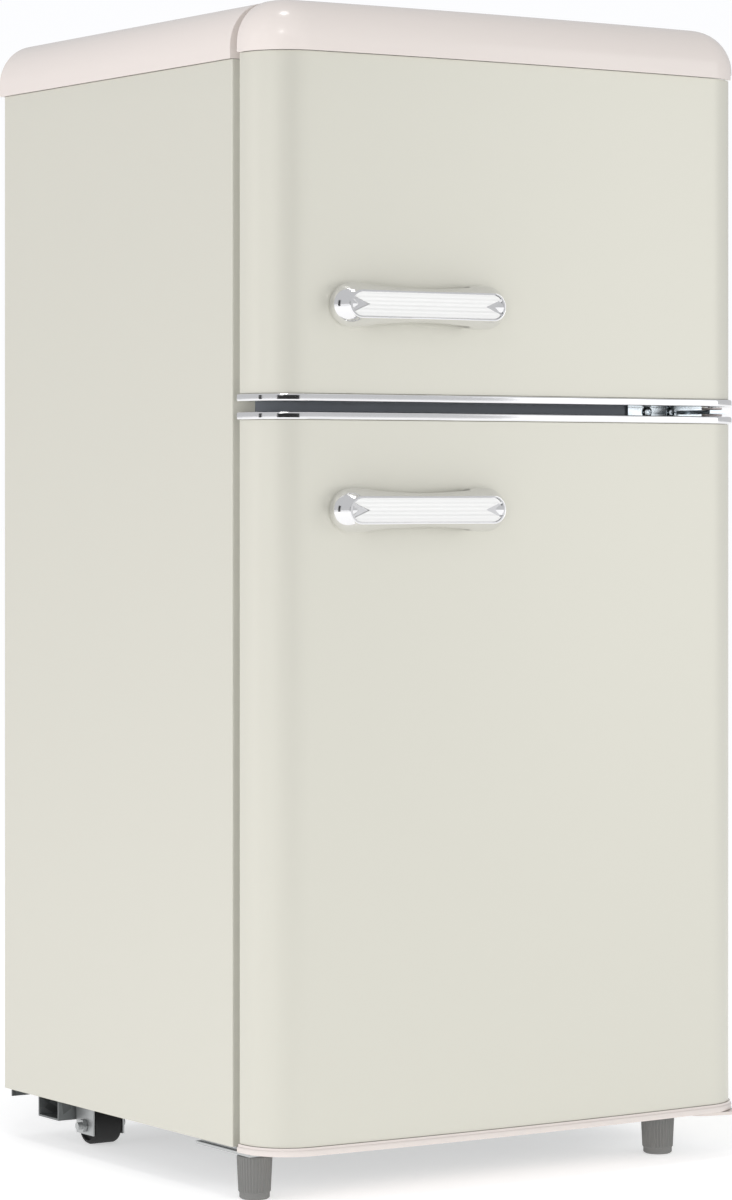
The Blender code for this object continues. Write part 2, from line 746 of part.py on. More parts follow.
def refrigerant_pipes():
    """Filter drier, and the pipe that feeds it from the compressor."""
    x, y = -0.120, 0.310
    profile = [
        (0, 0.150),
        (0.0022, 0.150),
        (0.0022, 0.128),
        (0.0085, 0.118),
        (0.0085, 0.062),
        (0.0030, 0.052),
        (0.0030, 0.040),
        (0, 0.040),
    ]
    turned("filter_drier", profile, (x, y, 0), "copper", steps=20)
    outlet, inlet = Vector((-0.0095, y, 0.110)), Vector((x, y, 0.0395))
    low, turn, count = 0.014, 0.016, 8
    points = [outlet, outlet + Vector((-0.022, 0, 0))]
    knee = outlet + Vector((-0.022, 0, -turn))
    corners = [
        (knee, 90, 180), (Vector((knee.x - 2 * turn, y, low + turn)), 0, -90),
        (Vector((x + turn, y, low + turn)), 270, 180)
    ]
    for centre, first, last in corners:
        for k in range(count + 1):
            t = math.radians(first + (last - first) * k / count)
            points.append(centre + Vector((math.cos(t), 0, math.sin(t))) * turn)
    points.append(inlet)
    tube("refrigerant_pipe", points, 0.0028, "copper", resolution=2)


def cord_gland():
    place = (0.150, 0, MACHINE_Z + 0.022)
    gland = cylinder(
        "cord_gland", 0.0075, (place[0], DEPTH - 0.0005, place[2]), 0.0045, "Y", "grey_plastic",
        sides=20
    )
    rim = cylinder("gland_rim", 0.0105, (place[0], DEPTH + 0.0010, place[2]), 0.0016, "Y", None, sides=20)
    bore = cylinder("gland_bore", 0.0040, (place[0], DEPTH, place[2]), 0.03, "Y", None, sides=16)
    join(gland, rim)
    cut(gland, bore)


# ---------------------------------------------------------------- inside fittings


def shelves():
    half = INNER_HALF - 0.0006
    for name, z in SHELF_Z.items():
        back = INNER_BACK - 0.0006
        glass = box(name, (-half, half), (SHELF_FRONT, back), (z, z + GLASS), "glass")
        bevel(glass, 0.0008, 1)


def open_tray(name, x, y, z, wall, material, holder=None, corner=0.008):
    """A thin-walled box that is open at the top, with its upright edges rounded."""
    outer = rounded_rectangle(x, y, corner)
    tray = prism(name, outer, z[0], z[1], "XY", material, holder, smooth=40)
    inner = rounded_rectangle((x[0] + wall, x[1] - wall), (y[0] + wall, y[1] - wall), corner - wall)
    cut(tray, prism(name + "_room", inner, z[0] + wall, z[1] + 0.02, "XY", None, holder))
    return tray


def rounded_rectangle(x, y, radius, steps=3):
    path = [(x[0], y[0]), (x[1], y[0]), (x[1], y[1]), (x[0], y[1])]
    middle = ((x[0] + x[1]) / 2, y[0])
    return rounded([middle, *path[1:], path[0], middle], radius, steps)[:-1]


def crisper_drawer():
    x, y, z = (-DRAWER_HALF, DRAWER_HALF), (SHELF_FRONT, 0.190), (0.0475, 0.2110)
    axis = make_empty("crisper_slide", (0, y[0], z[0]), FRAME)
    drawer = open_tray("crisper_drawer", x, y, z, TRAY_WALL, "clear_plastic", axis)
    grip = box(
        "drawer_grip", (-0.055, 0.055), (y[0] - 0.005, y[0] + 0.0015), (z[1] - 0.016, z[1] - 0.012),
        None, axis
    )
    join(drawer, grip)


def thermostat():
    """Control box under the ceiling: thermostat knob, lamp lens, and a nose that holds the lamp switch."""
    x, y, z = (0.052, 0.172), (0.078, 0.190), (0.480, FRIDGE_Z[1] - 0.0006)
    housing = box("thermostat_housing", x, y, z, "white_plastic")
    bevel(housing, 0.0025, 2)
    nose = box("switch_nose", (0.150, 0.168), (0.036, y[0] + 0.01), (0.500, z[1] - 0.001), None)
    bevel(nose, 0.0015, 2)
    join(housing, nose)
    knob_x, knob_z = 0.132, 0.4975
    front = y[0] - 0.0006
    profile = [
        (0, 0), (0.0155, 0), (0.0155, 0.003), (0.0135, 0.0045), (0.0125, 0.0145), (0.0105, 0.016),
        (0, 0.016)
    ]
    axis = make_empty("thermostat_axis", (knob_x, front, knob_z), FRAME)
    turned(
        "thermostat_knob", [(r, -h) for r, h in profile], (knob_x, front, knob_z), "white_plastic",
        axis, steps=28, axis="Y"
    )
    lens = box("lamp_lens", (0.060, 0.108), (y[0] - 0.003, y[0] - CLEAR), (0.486, 0.510), "clear_plastic")
    bevel(lens, 0.0012, 2)
    place = Vector((0.159, 0.0195, 0.5075))
    slide = make_empty("light_switch_slide", place, FRAME)
    length, bore = 0.0225, (0.030, 0.0485)
    plunger = cylinder(
        "light_switch_plunger", 0.003, place + Vector((0, length / 2, 0)), length, "Y",
        "white_plastic", slide, sides=16
    )
    middle = Vector((place.x, sum(bore) / 2, place.z))
    bore = cylinder("plunger_bore", 0.0036, middle, bore[1] - bore[0], "Y", None, sides=16)
    bevel(plunger, 0.0008, 2)
    cut(housing, bore)


# ---------------------------------------------------------------- doors


def plate_plan(inset, rear=-DOOR_GAP):
    return door_plan(inset, rear=rear)


def end_trim(name, z, material, holder):
    """Moulded end cap that closes a door's foam and stands proud of the painted skin."""
    trim = loft(
        name, [(plate_plan(-TRIM_OVERHANG), z[0]), (plate_plan(-TRIM_OVERHANG), z[1])], material,
        holder, smooth=40
    )
    bevel(trim, 0.0014, 2, angle=60)
    hole = cylinder(
        name + "_pin_hole", PIN_HOLE, (HINGE_X, HINGE_Y, sum(z) / 2), 0.05, "Z", None, holder,
        sides=16
    )
    return cut(trim, hole)


def door_shell(name, z, holder):
    """Painted steel skin wrapped round the sides and front, and the foam behind it."""
    skin_z = (z[0] + CLEAR, z[1] - CLEAR)
    strip(f"{name}_door_skin", door_plan(0), *skin_z, "XY", STEEL, "cream_steel", holder)
    plan = plate_plan(STEEL + CLEAR, rear=-(DOOR_GAP + LINER + CLEAR))
    foam = loft(f"{name}_door_foam", [(plan, skin_z[0]), (plan, skin_z[1])], "foam", holder)
    return foam


def door_liner(name, z, room_z, holder):
    """White inner panel with the raised dyke that enters the cabinet."""
    half = WIDTH / 2 - STEEL - 2 * CLEAR
    rear = -DOOR_GAP
    panel = box(
        f"{name}_door_liner", (-half, half), (rear - LINER, rear), (z[0] + CLEAR, z[1] - CLEAR),
        "white_plastic", holder
    )
    dyke_half = INNER_HALF - 0.006
    low, high = room_z[0] + 0.006, room_z[1] - 0.006
    width, reach = 0.013, 0.018
    dyke = box(f"{name}_dyke", (-dyke_half, dyke_half), (rear - LINER / 2, reach), (low, high), None, holder)
    bevel(dyke, 0.004, 2)
    room = box(
        f"{name}_dyke_room", (-dyke_half + width, dyke_half - width), (rear, 0.1),
        (low + width, high - width), None, holder
    )
    join(panel, dyke)
    cut(panel, room)


def gasket(name, z, holder):
    """Magnetic bellows seal: a closed frame between the liner panel and the cabinet flange."""
    outer, inner = 0.200, 0.188
    y = (-DOOR_GAP + CLEAR, -0.0005)
    seal = box(f"{name}_door_gasket", (-outer, outer), y, z, "gasket", holder)
    width = outer - inner
    room = box(
        f"{name}_gasket_room", (-inner, inner), (-0.05, 0.05), (z[0] + width, z[1] - width), None,
        holder
    )
    cut(seal, room)
    bevel(seal, 0.0015, 1)


def bin_rack(name, z, reach, holder):
    half = INNER_HALF - 0.006 - 0.013 - 0.0006
    return open_tray(
        name, (-half, half), (-DOOR_GAP + CLEAR, reach), z, TRAY_WALL, "clear_plastic", holder,
        corner=0.010
    )


def stadium(half_length, radius, steps=10):
    """Outline of a bar with round ends, about the origin."""
    points = []
    for centre, start in ((half_length - radius, -math.pi / 2), (radius - half_length, math.pi / 2)):
        for k in range(steps + 1):
            t = start + math.pi * k / steps
            points.append((centre + radius * math.cos(t), radius * math.sin(t)))
    return points


def dog_bone(half_length, radius, waist, steps=10, waist_steps=10):
    """Outline with round ends of the given radius that narrows to a waist halfway along."""
    reach = half_length - radius
    points = []
    for sign in (1, -1):
        for k in range(steps + 1):
            t = -math.pi / 2 + math.pi * k / steps
            points.append((sign * (reach + radius * math.cos(t)), sign * radius * math.sin(t)))
        for k in range(1, waist_steps):
            x = reach * (1 - 2 * k / waist_steps)
            height = radius - (radius - waist) * (1 + math.cos(math.pi * x / reach)) / 2
            points.append((sign * x, sign * height))
    return points


def handle(name, holder):
    """Chrome handle: a waisted bar on two feet, with room for fingers and a pale insert in its front."""
    step = 0.01
    lean = math.atan2(door_front(HANDLE_X + step) - door_front(HANDLE_X - step), 2 * step)
    place = Matrix.Translation(
        (HANDLE_X, door_front(HANDLE_X), HANDLE_Z[name])
    ) @ Matrix.Rotation(lean, 4, "Z")

    def lay(obj):
        obj.matrix_basis = place
        return obj

    sink = 0.0012
    front = -HANDLE_REACH + math.sin(abs(lean)) * HANDLE_FRONT[0]
    bulge = [(-sink, 1.0), (-0.0035, 0.35), (-0.0070, 0.0)]
    back = [Vector(HANDLE_BASE) - Vector((0.0020, 0.0015, 0.0010)) * k for _, k in bulge]
    rings = [(dog_bone(*size), y) for size, (y, _) in zip(back, bulge)]
    turn_steps = 6
    round_depth = 0.011
    for k in range(turn_steps + 1):
        t = k / turn_steps * math.pi / 2
        size = Vector(HANDLE_BASE).lerp(Vector(HANDLE_FRONT), 1 - math.cos(t))
        rings.append((dog_bone(*size), front + round_depth * (1 - math.sin(t))))
    body = lay(loft_xz(f"{name}_handle", rings, "chrome", holder, smooth=50))
    gap = lay(
        box(f"{name}_finger_gap", (-FINGER_HALF, FINGER_HALF), (-FINGER_DEPTH, 0.02), (-0.03, 0.03), None, holder)
    )
    bevel(gap, 0.004, 3)
    half, radius = HANDLE_INSERT
    pocket = prism(
        f"{name}_pocket", stadium(half + CLEAR, radius + CLEAR), front - 0.01, front + INSERT_DEPTH,
        "XZ", None, holder
    )
    cut(body, gap, lay(pocket))
    insert_y = (front + 0.0002, front + INSERT_DEPTH - CLEAR)
    lay(prism(f"{name}_handle_insert", stadium(half, radius), *insert_y, "XZ", "handle_insert", holder))


def freezer_cap(holder):
    """Rounded top of the freezer door, hollow, with a notch at the hinge corner for the fixed arm."""
    z0, z1 = FREEZER_CAP_Z, FREEZER_DOOR_Z[1]
    rise = z1 - z0

    def rings(wall, drop):
        made = []
        for out, up in round_profile(0.0025, wall, CAP_LIP, CAP_ROUND, rise):
            made.append((plate_plan(-out, rear=-DOOR_GAP - wall), z0 + up))
        if drop:
            made[0] = (made[0][0], z0 - drop)
        return made

    cap = loft("freezer_door_cap", rings(0, 0), "ivory_plastic", holder, smooth=40)
    room = loft("freezer_cap_room", rings(CAP_WALL, 0.01), None, holder)
    reach, half = 0.050, 0.0095
    swing = [Vector((-half, reach))]
    for k in range(7):
        t = DOOR_SWING * k / 6
        swing.append(Vector((math.sin(t), math.cos(t))) * reach)
    end = Vector((math.sin(DOOR_SWING), math.cos(DOOR_SWING)))
    across = Vector((math.cos(DOOR_SWING), -math.sin(DOOR_SWING)))
    back = half * (1 + across.x) / end.x
    swing += [end * reach + across * half, across * half - end * back]
    outline = [(HINGE_X + p.x, HINGE_Y + p.y) for p in swing]
    notch = prism("freezer_cap_notch", outline, z0 - 0.005, ARM_Z[1] + 0.001, "XY", None, holder)
    cut(cap, room, notch)


def freezer_door():
    axis = make_empty("freezer_door_axis", (HINGE_X, HINGE_Y, 0), FRAME)
    low = FREEZER_DOOR_Z[0] + CHROME_HEIGHT
    body = (low, FREEZER_CAP_Z)
    foam = door_shell("freezer", body, axis)
    cut(
        foam,
        cylinder("top_pin_hole", PIN_HOLE, (HINGE_X, HINGE_Y, FREEZER_CAP_Z), 0.026, "Z", None, axis, sides=16)
    )
    end_trim("freezer_door_chrome_trim", (FREEZER_DOOR_Z[0], low), "chrome", axis)
    freezer_cap(axis)
    door_liner("freezer", body, FREEZER_Z, axis)
    gasket("freezer", (0.5535, 0.7925), axis)
    bin_rack("freezer_door_rack", (FREEZER_Z[0] + 0.024, FREEZER_Z[0] + 0.070), 0.048, axis)
    handle("freezer", axis)


def fridge_door():
    axis = make_empty("fridge_door_axis", (HINGE_X, HINGE_Y, 0), FRAME)
    low, high = FRIDGE_DOOR_Z[0] + BOTTOM_TRIM_HEIGHT, FRIDGE_DOOR_Z[1] - CHROME_HEIGHT
    door_shell("fridge", (low, high), axis)
    end_trim("fridge_door_chrome_trim", (high, FRIDGE_DOOR_Z[1]), "chrome", axis)
    end_trim("fridge_door_bottom_trim", (FRIDGE_DOOR_Z[0], low), "ivory_plastic", axis)
    door_liner("fridge", (low, high), FRIDGE_Z, axis)
    gasket("fridge", (0.010, 0.5285), axis)
    bin_rack("fridge_door_bottle_rack", (0.068, 0.150), 0.062, axis)
    bin_rack("fridge_door_upper_rack", (0.330, 0.392), 0.058, axis)
    handle("fridge", axis)


side_panels()
roof_panel()
back_panel()
base_panel()
liner("freezer")
liner("fridge")
cabinet_foam()
freezer_evaporator()
condenser_coil()
mullion_rail()
top_cap()
crossmember_and_tray()
rear_rollers()
front_feet()
hinges()
compressor()
refrigerant_pipes()
cord_gland()
shelves()
crisper_drawer()
thermostat()
freezer_door()
fridge_door()
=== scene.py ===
"""Retro mini fridge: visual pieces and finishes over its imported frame.

Laid out as an add-on, and run as a script."""

import json
import math

import bmesh
import bpy
from bpy.props import FloatProperty, FloatVectorProperty, IntProperty, PointerProperty
from mathutils import Matrix, Vector

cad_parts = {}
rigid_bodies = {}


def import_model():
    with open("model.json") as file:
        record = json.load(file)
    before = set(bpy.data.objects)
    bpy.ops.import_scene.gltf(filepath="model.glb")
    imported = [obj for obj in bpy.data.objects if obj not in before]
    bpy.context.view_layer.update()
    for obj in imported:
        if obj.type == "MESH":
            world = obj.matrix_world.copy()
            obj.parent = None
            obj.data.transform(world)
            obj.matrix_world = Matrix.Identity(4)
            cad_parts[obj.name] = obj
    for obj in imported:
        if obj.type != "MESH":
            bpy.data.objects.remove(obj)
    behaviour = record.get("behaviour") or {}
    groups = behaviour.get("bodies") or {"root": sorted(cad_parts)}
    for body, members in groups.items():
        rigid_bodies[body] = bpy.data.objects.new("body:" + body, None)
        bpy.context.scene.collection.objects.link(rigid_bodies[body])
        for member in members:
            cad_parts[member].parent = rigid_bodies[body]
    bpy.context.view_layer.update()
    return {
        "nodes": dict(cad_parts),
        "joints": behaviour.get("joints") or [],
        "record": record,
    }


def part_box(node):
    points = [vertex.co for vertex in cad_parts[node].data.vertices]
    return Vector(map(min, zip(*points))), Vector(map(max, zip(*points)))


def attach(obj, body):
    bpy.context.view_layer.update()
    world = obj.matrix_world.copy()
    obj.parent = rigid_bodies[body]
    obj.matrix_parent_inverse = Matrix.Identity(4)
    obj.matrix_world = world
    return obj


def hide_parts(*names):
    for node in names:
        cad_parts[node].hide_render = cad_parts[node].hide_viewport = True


bl_info = {
    "name": "Retro Mini Fridge",
    "version": (1, 0, 0),
    "blender": (4, 5, 0),
    "location": "View3D > Sidebar > Fridge",
    "description": "Builds the detailed pieces, finishes and studio of a two-door mini fridge",
    "category": "Add Mesh",
}

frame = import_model()

SKIN_LOW, SKIN_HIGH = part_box("freezer_door_skin")
SIDE_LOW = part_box("left_side_panel")[0]
CAP_LOW, CAP_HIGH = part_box("freezer_door_cap")
CHROME_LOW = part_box("freezer_door_chrome_trim")[0]
HALF = SKIN_HIGH.x
REAR = SKIN_HIGH.y
FACE = SIDE_LOW.y
BASE = SIDE_LOW.z
HINGE = next(Vector(j["pos_m"]) for j in frame["joints"] if j["name"] == "fridge_door_hinge")
SLOT_OF = {s["node"]: s["material_slot"] for s in frame["record"]["subparts"]}
BODY_OF = {n: body for body, nodes in frame["record"]["behaviour"]["bodies"].items() for n in nodes}
MERGE = 0.000001  # vertices closer than this are one vertex
NEAR = 1e-5  # places closer than this count as the same place
PATTERN_SPAN = (0.3, 0.7)  # where most of a pattern's values lie


# ---------------------------------------------------------------- settings


class FridgeSizes(bpy.types.PropertyGroup):
    """Sizes of the visible pieces that the frame's boxes don't give."""

    door_corner: FloatProperty(
        name="Door corner", description="Radius of a door's front corners", default=0.035, unit="LENGTH"
    )
    door_bow: FloatProperty(
        name="Door bow", description="How far a door's front bows out", default=0.0074, unit="LENGTH"
    )
    cap_round: FloatProperty(
        name="Cap shoulder", description="Radius of the caps' rounded shoulders", default=0.034, unit="LENGTH"
    )
    wall: FloatProperty(
        name="Moulded wall", description="Wall of the moulded covers", default=0.0022, unit="LENGTH"
    )
    foot_ribs: IntProperty(name="Foot ribs", description="Upright ribs round each front foot", default=34)
    insert_ribs: IntProperty(name="Insert ribs", description="Fine ribs along a handle's insert", default=6)


class FridgeColours(bpy.types.PropertyGroup):
    """Colours of the finishes, as linear values."""

    cream: FloatVectorProperty(name="Cream enamel", subtype="COLOR", default=(0.715, 0.70, 0.60))
    ivory: FloatVectorProperty(name="Ivory plastic", subtype="COLOR", default=(0.685, 0.625, 0.585))
    insert: FloatVectorProperty(name="Handle insert", subtype="COLOR", default=(0.86, 0.86, 0.85))
    rail: FloatVectorProperty(name="Rail between the doors", subtype="COLOR", default=(0.56, 0.60, 0.68))
    foot: FloatVectorProperty(name="Foot plastic", subtype="COLOR", default=(0.33, 0.32, 0.31))


# ---------------------------------------------------------------- finishes


def finish(name, colour, roughness, metallic=0.0, **sockets):
    """A new material with a Principled shader, its fixed values set on its own sockets."""
    made = bpy.data.materials.new(name)
    made.use_nodes = True
    shader = made.node_tree.nodes["Principled BSDF"]
    shader.inputs["Base Color"].default_value = (*colour, 1)
    shader.inputs["Roughness"].default_value = roughness
    shader.inputs["Metallic"].default_value = metallic
    for socket, value in sockets.items():
        shader.inputs[socket.replace("_", " ")].default_value = value
    return made


def pattern(material, kind, scale, stretch=(1, 1, 1), detail=3.0):
    """A noise or Voronoi texture on the object's own coordinates. Returns the output that holds its value."""
    tree = material.node_tree
    coordinates = tree.nodes.new("ShaderNodeTexCoord")
    mapping = tree.nodes.new("ShaderNodeMapping")
    mapping.inputs["Scale"].default_value = stretch
    tree.links.new(coordinates.outputs["Object"], mapping.inputs["Vector"])
    if kind == "NOISE":
        texture = tree.nodes.new("ShaderNodeTexNoise")
        texture.inputs["Detail"].default_value = detail
    else:
        texture = tree.nodes.new("ShaderNodeTexVoronoi")
    texture.inputs["Scale"].default_value = scale
    tree.links.new(mapping.outputs["Vector"], texture.inputs["Vector"])
    return texture.outputs["Color" if kind == "CELLS" else 0]


def vary(material, source, socket, low, high):
    """Takes a shader socket between two values or colours by a pattern."""
    tree = material.node_tree
    shader = tree.nodes["Principled BSDF"]
    if isinstance(low, tuple):
        ramp = tree.nodes.new("ShaderNodeValToRGB")
        for stop, position, colour in zip(ramp.color_ramp.elements, PATTERN_SPAN, (low, high)):
            stop.position = position
            stop.color = (*colour, 1)
        tree.links.new(source, ramp.inputs["Fac"])
        tree.links.new(ramp.outputs["Color"], shader.inputs[socket])
        return
    span = tree.nodes.new("ShaderNodeMapRange")
    span.inputs["From Min"].default_value, span.inputs["From Max"].default_value = PATTERN_SPAN
    span.inputs["To Min"].default_value = low
    span.inputs["To Max"].default_value = high
    tree.links.new(source, span.inputs["Value"])
    tree.links.new(span.outputs["Result"], shader.inputs[socket])


def bump(material, source, distance, strength=0.5):
    """Gives a finish a shallow relief from a pattern."""
    tree = material.node_tree
    node = tree.nodes.new("ShaderNodeBump")
    node.inputs["Distance"].default_value = distance
    node.inputs["Strength"].default_value = strength
    tree.links.new(source, node.inputs["Height"])
    tree.links.new(node.outputs["Normal"], tree.nodes["Principled BSDF"].inputs["Normal"])


def shade(colour, factor):
    """A colour made lighter or darker by a factor."""
    return tuple(min(1.0, channel * factor) for channel in colour)


def enamel(name, colour):
    """Sprayed enamel on steel: faint clouds in the colour and a shallow orange peel under a clear gloss."""
    made = finish(name, colour, 0.34, Specular_IOR_Level=0.45, Coat_Weight=0.35, Coat_Roughness=0.12)
    vary(made, pattern(made, "NOISE", 6.0), "Base Color", shade(colour, 0.985), shade(colour, 1.012))
    vary(made, pattern(made, "NOISE", 40.0), "Roughness", 0.30, 0.40)
    bump(made, pattern(made, "NOISE", 420.0, detail=1.0), 0.00006, 0.35)
    return made


def moulded(name, colour, roughness, grain=900.0, depth=0.00005, **sockets):
    """Moulded plastic with a fine grain and a slight drift in its gloss."""
    made = finish(name, colour, roughness, **sockets)
    vary(made, pattern(made, "NOISE", 9.0), "Base Color", shade(colour, 0.975), shade(colour, 1.01))
    vary(made, pattern(made, "NOISE", 60.0), "Roughness", roughness * 0.85, roughness * 1.2)
    bump(made, pattern(made, "NOISE", grain, detail=2.0), depth, 0.5)
    return made


def plated(name, colour, roughness):
    """Bright plating with faint long polishing marks."""
    made = finish(name, colour, roughness, metallic=1.0)
    vary(made, pattern(made, "NOISE", 30.0, stretch=(1, 1, 6)), "Roughness", roughness * 0.6, roughness * 1.8)
    bump(made, pattern(made, "NOISE", 25.0, stretch=(1, 1, 8), detail=2.0), 0.00006, 0.25)
    return made


def galvanised(name, colour):
    """Zinc-coated sheet: flat spangle crystals that differ in tone and shine."""
    made = finish(name, colour, 0.42, metallic=0.5)
    vary(made, pattern(made, "CELLS", 120.0), "Base Color", shade(colour, 0.72), shade(colour, 1.18))
    vary(made, pattern(made, "CELLS", 120.0), "Roughness", 0.30, 0.55)
    bump(made, pattern(made, "NOISE", 240.0), 0.00008, 0.4)
    return made


def brushed(name, colour, roughness, stretch):
    """Metal with fine parallel lines."""
    made = finish(name, colour, roughness, metallic=0.9)
    vary(made, pattern(made, "NOISE", 60.0, stretch), "Roughness", roughness * 0.7, roughness * 1.3)
    bump(made, pattern(made, "NOISE", 220.0, stretch), 0.00006, 0.4)
    return made


def clear(name, colour, roughness, transmission):
    """Glass or clear plastic with a slight drift in its gloss."""
    made = finish(name, colour, roughness, Transmission_Weight=transmission, IOR=1.5)
    vary(made, pattern(made, "NOISE", 30.0), "Roughness", roughness * 0.6, roughness * 1.6)
    return made


class FinishesOperator(bpy.types.Operator):
    """Makes the finishes and gives every frame piece its own"""

    bl_idname = "fridge.finishes"
    bl_label = "Finishes"

    def execute(self, context):
        colours = context.scene.fridge_colours
        enamel("cream_steel", tuple(colours.cream))
        moulded("ivory_plastic", tuple(colours.ivory), 0.22, 700.0, Coat_Weight=0.4, Coat_Roughness=0.08)
        plated("chrome", (0.80, 0.80, 0.82), 0.07)
        moulded("handle_insert", tuple(colours.insert), 0.28, 500.0, Specular_IOR_Level=0.7)
        moulded("grey_rail", tuple(colours.rail), 0.25, 500.0, Specular_IOR_Level=0.8)
        plated("bright_zinc", (0.72, 0.78, 0.82), 0.18)
        galvanised("galvanised_steel", (0.66, 0.70, 0.72))
        # A darker copy of the galvanised finish: painted shade for the pieces under the cabinet
        galvanised("zinc_painted_shade", (0.20, 0.21, 0.21))
        moulded("white_plastic", (0.82, 0.83, 0.81), 0.32, 600.0)
        moulded("foam", (0.80, 0.72, 0.46), 0.95, 160.0, 0.0008)
        moulded("gasket", (0.74, 0.74, 0.71), 0.62, 500.0)
        clear("glass", (0.80, 0.93, 0.89), 0.03, 0.95)
        clear("clear_plastic", (0.86, 0.92, 0.95), 0.12, 0.85)
        moulded("black_steel", (0.018, 0.018, 0.019), 0.42, 300.0, 0.0002)
        moulded("black_rubber", (0.014, 0.014, 0.015), 0.50, 500.0, 0.0001)
        brushed("copper", (0.70, 0.36, 0.20), 0.30, (1, 1, 6))
        brushed("aluminium", (0.70, 0.71, 0.72), 0.35, (8, 1, 1))
        moulded("grey_plastic", tuple(colours.foot), 0.48, 900.0, 0.0001)
        moulded("nylon", (0.70, 0.62, 0.60), 0.40, 600.0)
        for name, node in frame["nodes"].items():
            dress(node, SLOT_OF[name])
        return {"FINISHED"}


def dress(node, slot):
    """Gives a frame piece its finish."""
    node.data.materials.clear()
    node.data.materials.append(bpy.data.materials[slot])


# ---------------------------------------------------------------- making pieces


def piece(name, bm, body, slot, stands_for=(), angle=35, material=None):
    """Turns a bmesh into a finished piece that rides on a body and stands for the frame's nodes, if any."""
    bmesh.ops.remove_doubles(bm, verts=bm.verts, dist=MERGE)
    bmesh.ops.recalc_face_normals(bm, faces=bm.faces)
    mesh = bpy.data.meshes.new(name)
    bm.to_mesh(mesh)
    bm.free()
    mesh.shade_smooth()
    mesh.set_sharp_from_angle(angle=math.radians(angle))
    mesh.materials.append(bpy.data.materials[material or slot])
    obj = bpy.data.objects.new(name, mesh)
    bpy.context.scene.collection.objects.link(obj)
    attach(obj, body)
    if stands_for:
        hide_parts(*stands_for)
    return obj


def settle(obj, angle=35):
    """Makes an object's modifiers part of its mesh."""
    graph = bpy.context.evaluated_depsgraph_get()
    mesh = bpy.data.meshes.new_from_object(obj.evaluated_get(graph))
    obj.modifiers.clear()
    obj.data = mesh
    mesh.shade_smooth()
    mesh.set_sharp_from_angle(angle=math.radians(angle))


def combine(obj, bm, operation="DIFFERENCE", angle=35):
    """Cuts a shape out of a piece, or fuses it on, and keeps the result as the piece's mesh."""
    bmesh.ops.recalc_face_normals(bm, faces=bm.faces)
    mesh = bpy.data.meshes.new("tool")
    bm.to_mesh(mesh)
    bm.free()
    tool = bpy.data.objects.new("tool", mesh)
    bpy.context.scene.collection.objects.link(tool)
    tool.hide_render = True
    modifier = obj.modifiers.new("shape", "BOOLEAN")
    modifier.operation = operation
    modifier.object = tool
    settle(obj, angle)
    bpy.data.objects.remove(tool)
    return obj


def shell(obj, thickness, inwards=True):
    """Gives an open surface its wall."""
    solid = obj.modifiers.new("wall", "SOLIDIFY")
    solid.thickness = thickness
    solid.offset = -1 if inwards else 1
    solid.use_even_offset = True
    solid.thickness_clamp = 1.5
    settle(obj)
    return obj


def block(low, high):
    """A bmesh box between two corners."""
    bm = bmesh.new()
    bmesh.ops.create_cube(bm, size=1)
    low, high = Vector(low), Vector(high)
    bmesh.ops.scale(bm, vec=high - low, verts=bm.verts)
    bmesh.ops.translate(bm, vec=(low + high) / 2, verts=bm.verts)
    return bm


def round_edges(bm, edges, offset, segments):
    """Rounds edges to a radius."""
    bmesh.ops.bevel(
        bm, geom=edges, offset=offset, segments=segments, profile=0.5, affect="EDGES", material=-1
    )


def eased_block(low, high, offset, segments):
    """A bmesh box with all its edges rounded."""
    bm = block(low, high)
    round_edges(bm, bm.edges[:], offset, segments)
    return bm


def edges_where(bm, test):
    """The edges with both ends in a place that passes a test."""
    return [e for e in bm.edges if all(test(v.co) for v in e.verts)]


def upright(edge):
    """Whether an edge runs up, rather than along."""
    return abs(edge.verts[0].co.z - edge.verts[1].co.z) > 1e-4


def ring_edges(loop):
    """The edges that join a ring's own vertices."""
    return list({e for v in loop for e in v.link_edges if e.other_vert(v) in loop})


def slice_across(bm, axis, low, high, slices):
    """Cuts a mesh into equal slices between two places along an axis."""
    normal = Vector([float(k == axis) for k in range(3)])
    for k in range(1, slices):
        place = normal * (low + (high - low) * k / slices)
        everything = bm.verts[:] + bm.edges[:] + bm.faces[:]
        bmesh.ops.bisect_plane(bm, geom=everything, plane_co=place, plane_no=normal)


def turned(profile, centre, axis="Z", count=64, ribs=0, bored=False):
    """A round piece from (radius, height, rib depth) rings about an axis, each bridged to the next.

    Its ends are flat, or where it is bored the last ring joins the first."""
    bm = bmesh.new()
    quarter = math.pi / 2
    turns = {"X": Matrix.Rotation(quarter, 4, "Y"), "Y": Matrix.Rotation(-quarter, 4, "X"), "Z": Matrix()}
    place = Matrix.Translation(centre) @ turns[axis]
    loops = []
    for ring, (radius, height, *depth) in enumerate(profile):
        closed = not bored and ring in (0, len(profile) - 1)
        loop = bmesh.ops.create_circle(bm, segments=count, radius=radius, cap_ends=closed)["verts"]
        for v in loop:
            t = math.atan2(v.co.y, v.co.x)
            if depth and math.cos(ribs * t) < -0.25:
                v.co *= 1 - depth[0] / radius
            v.co.z = height
            v.co = place @ v.co
        loops.append(ring_edges(loop))
    following = loops[1:] + loops[:1] if bored else loops[1:]
    for low, high in zip(loops, following):
        bmesh.ops.bridge_loops(bm, edges=low + high)
    return bm


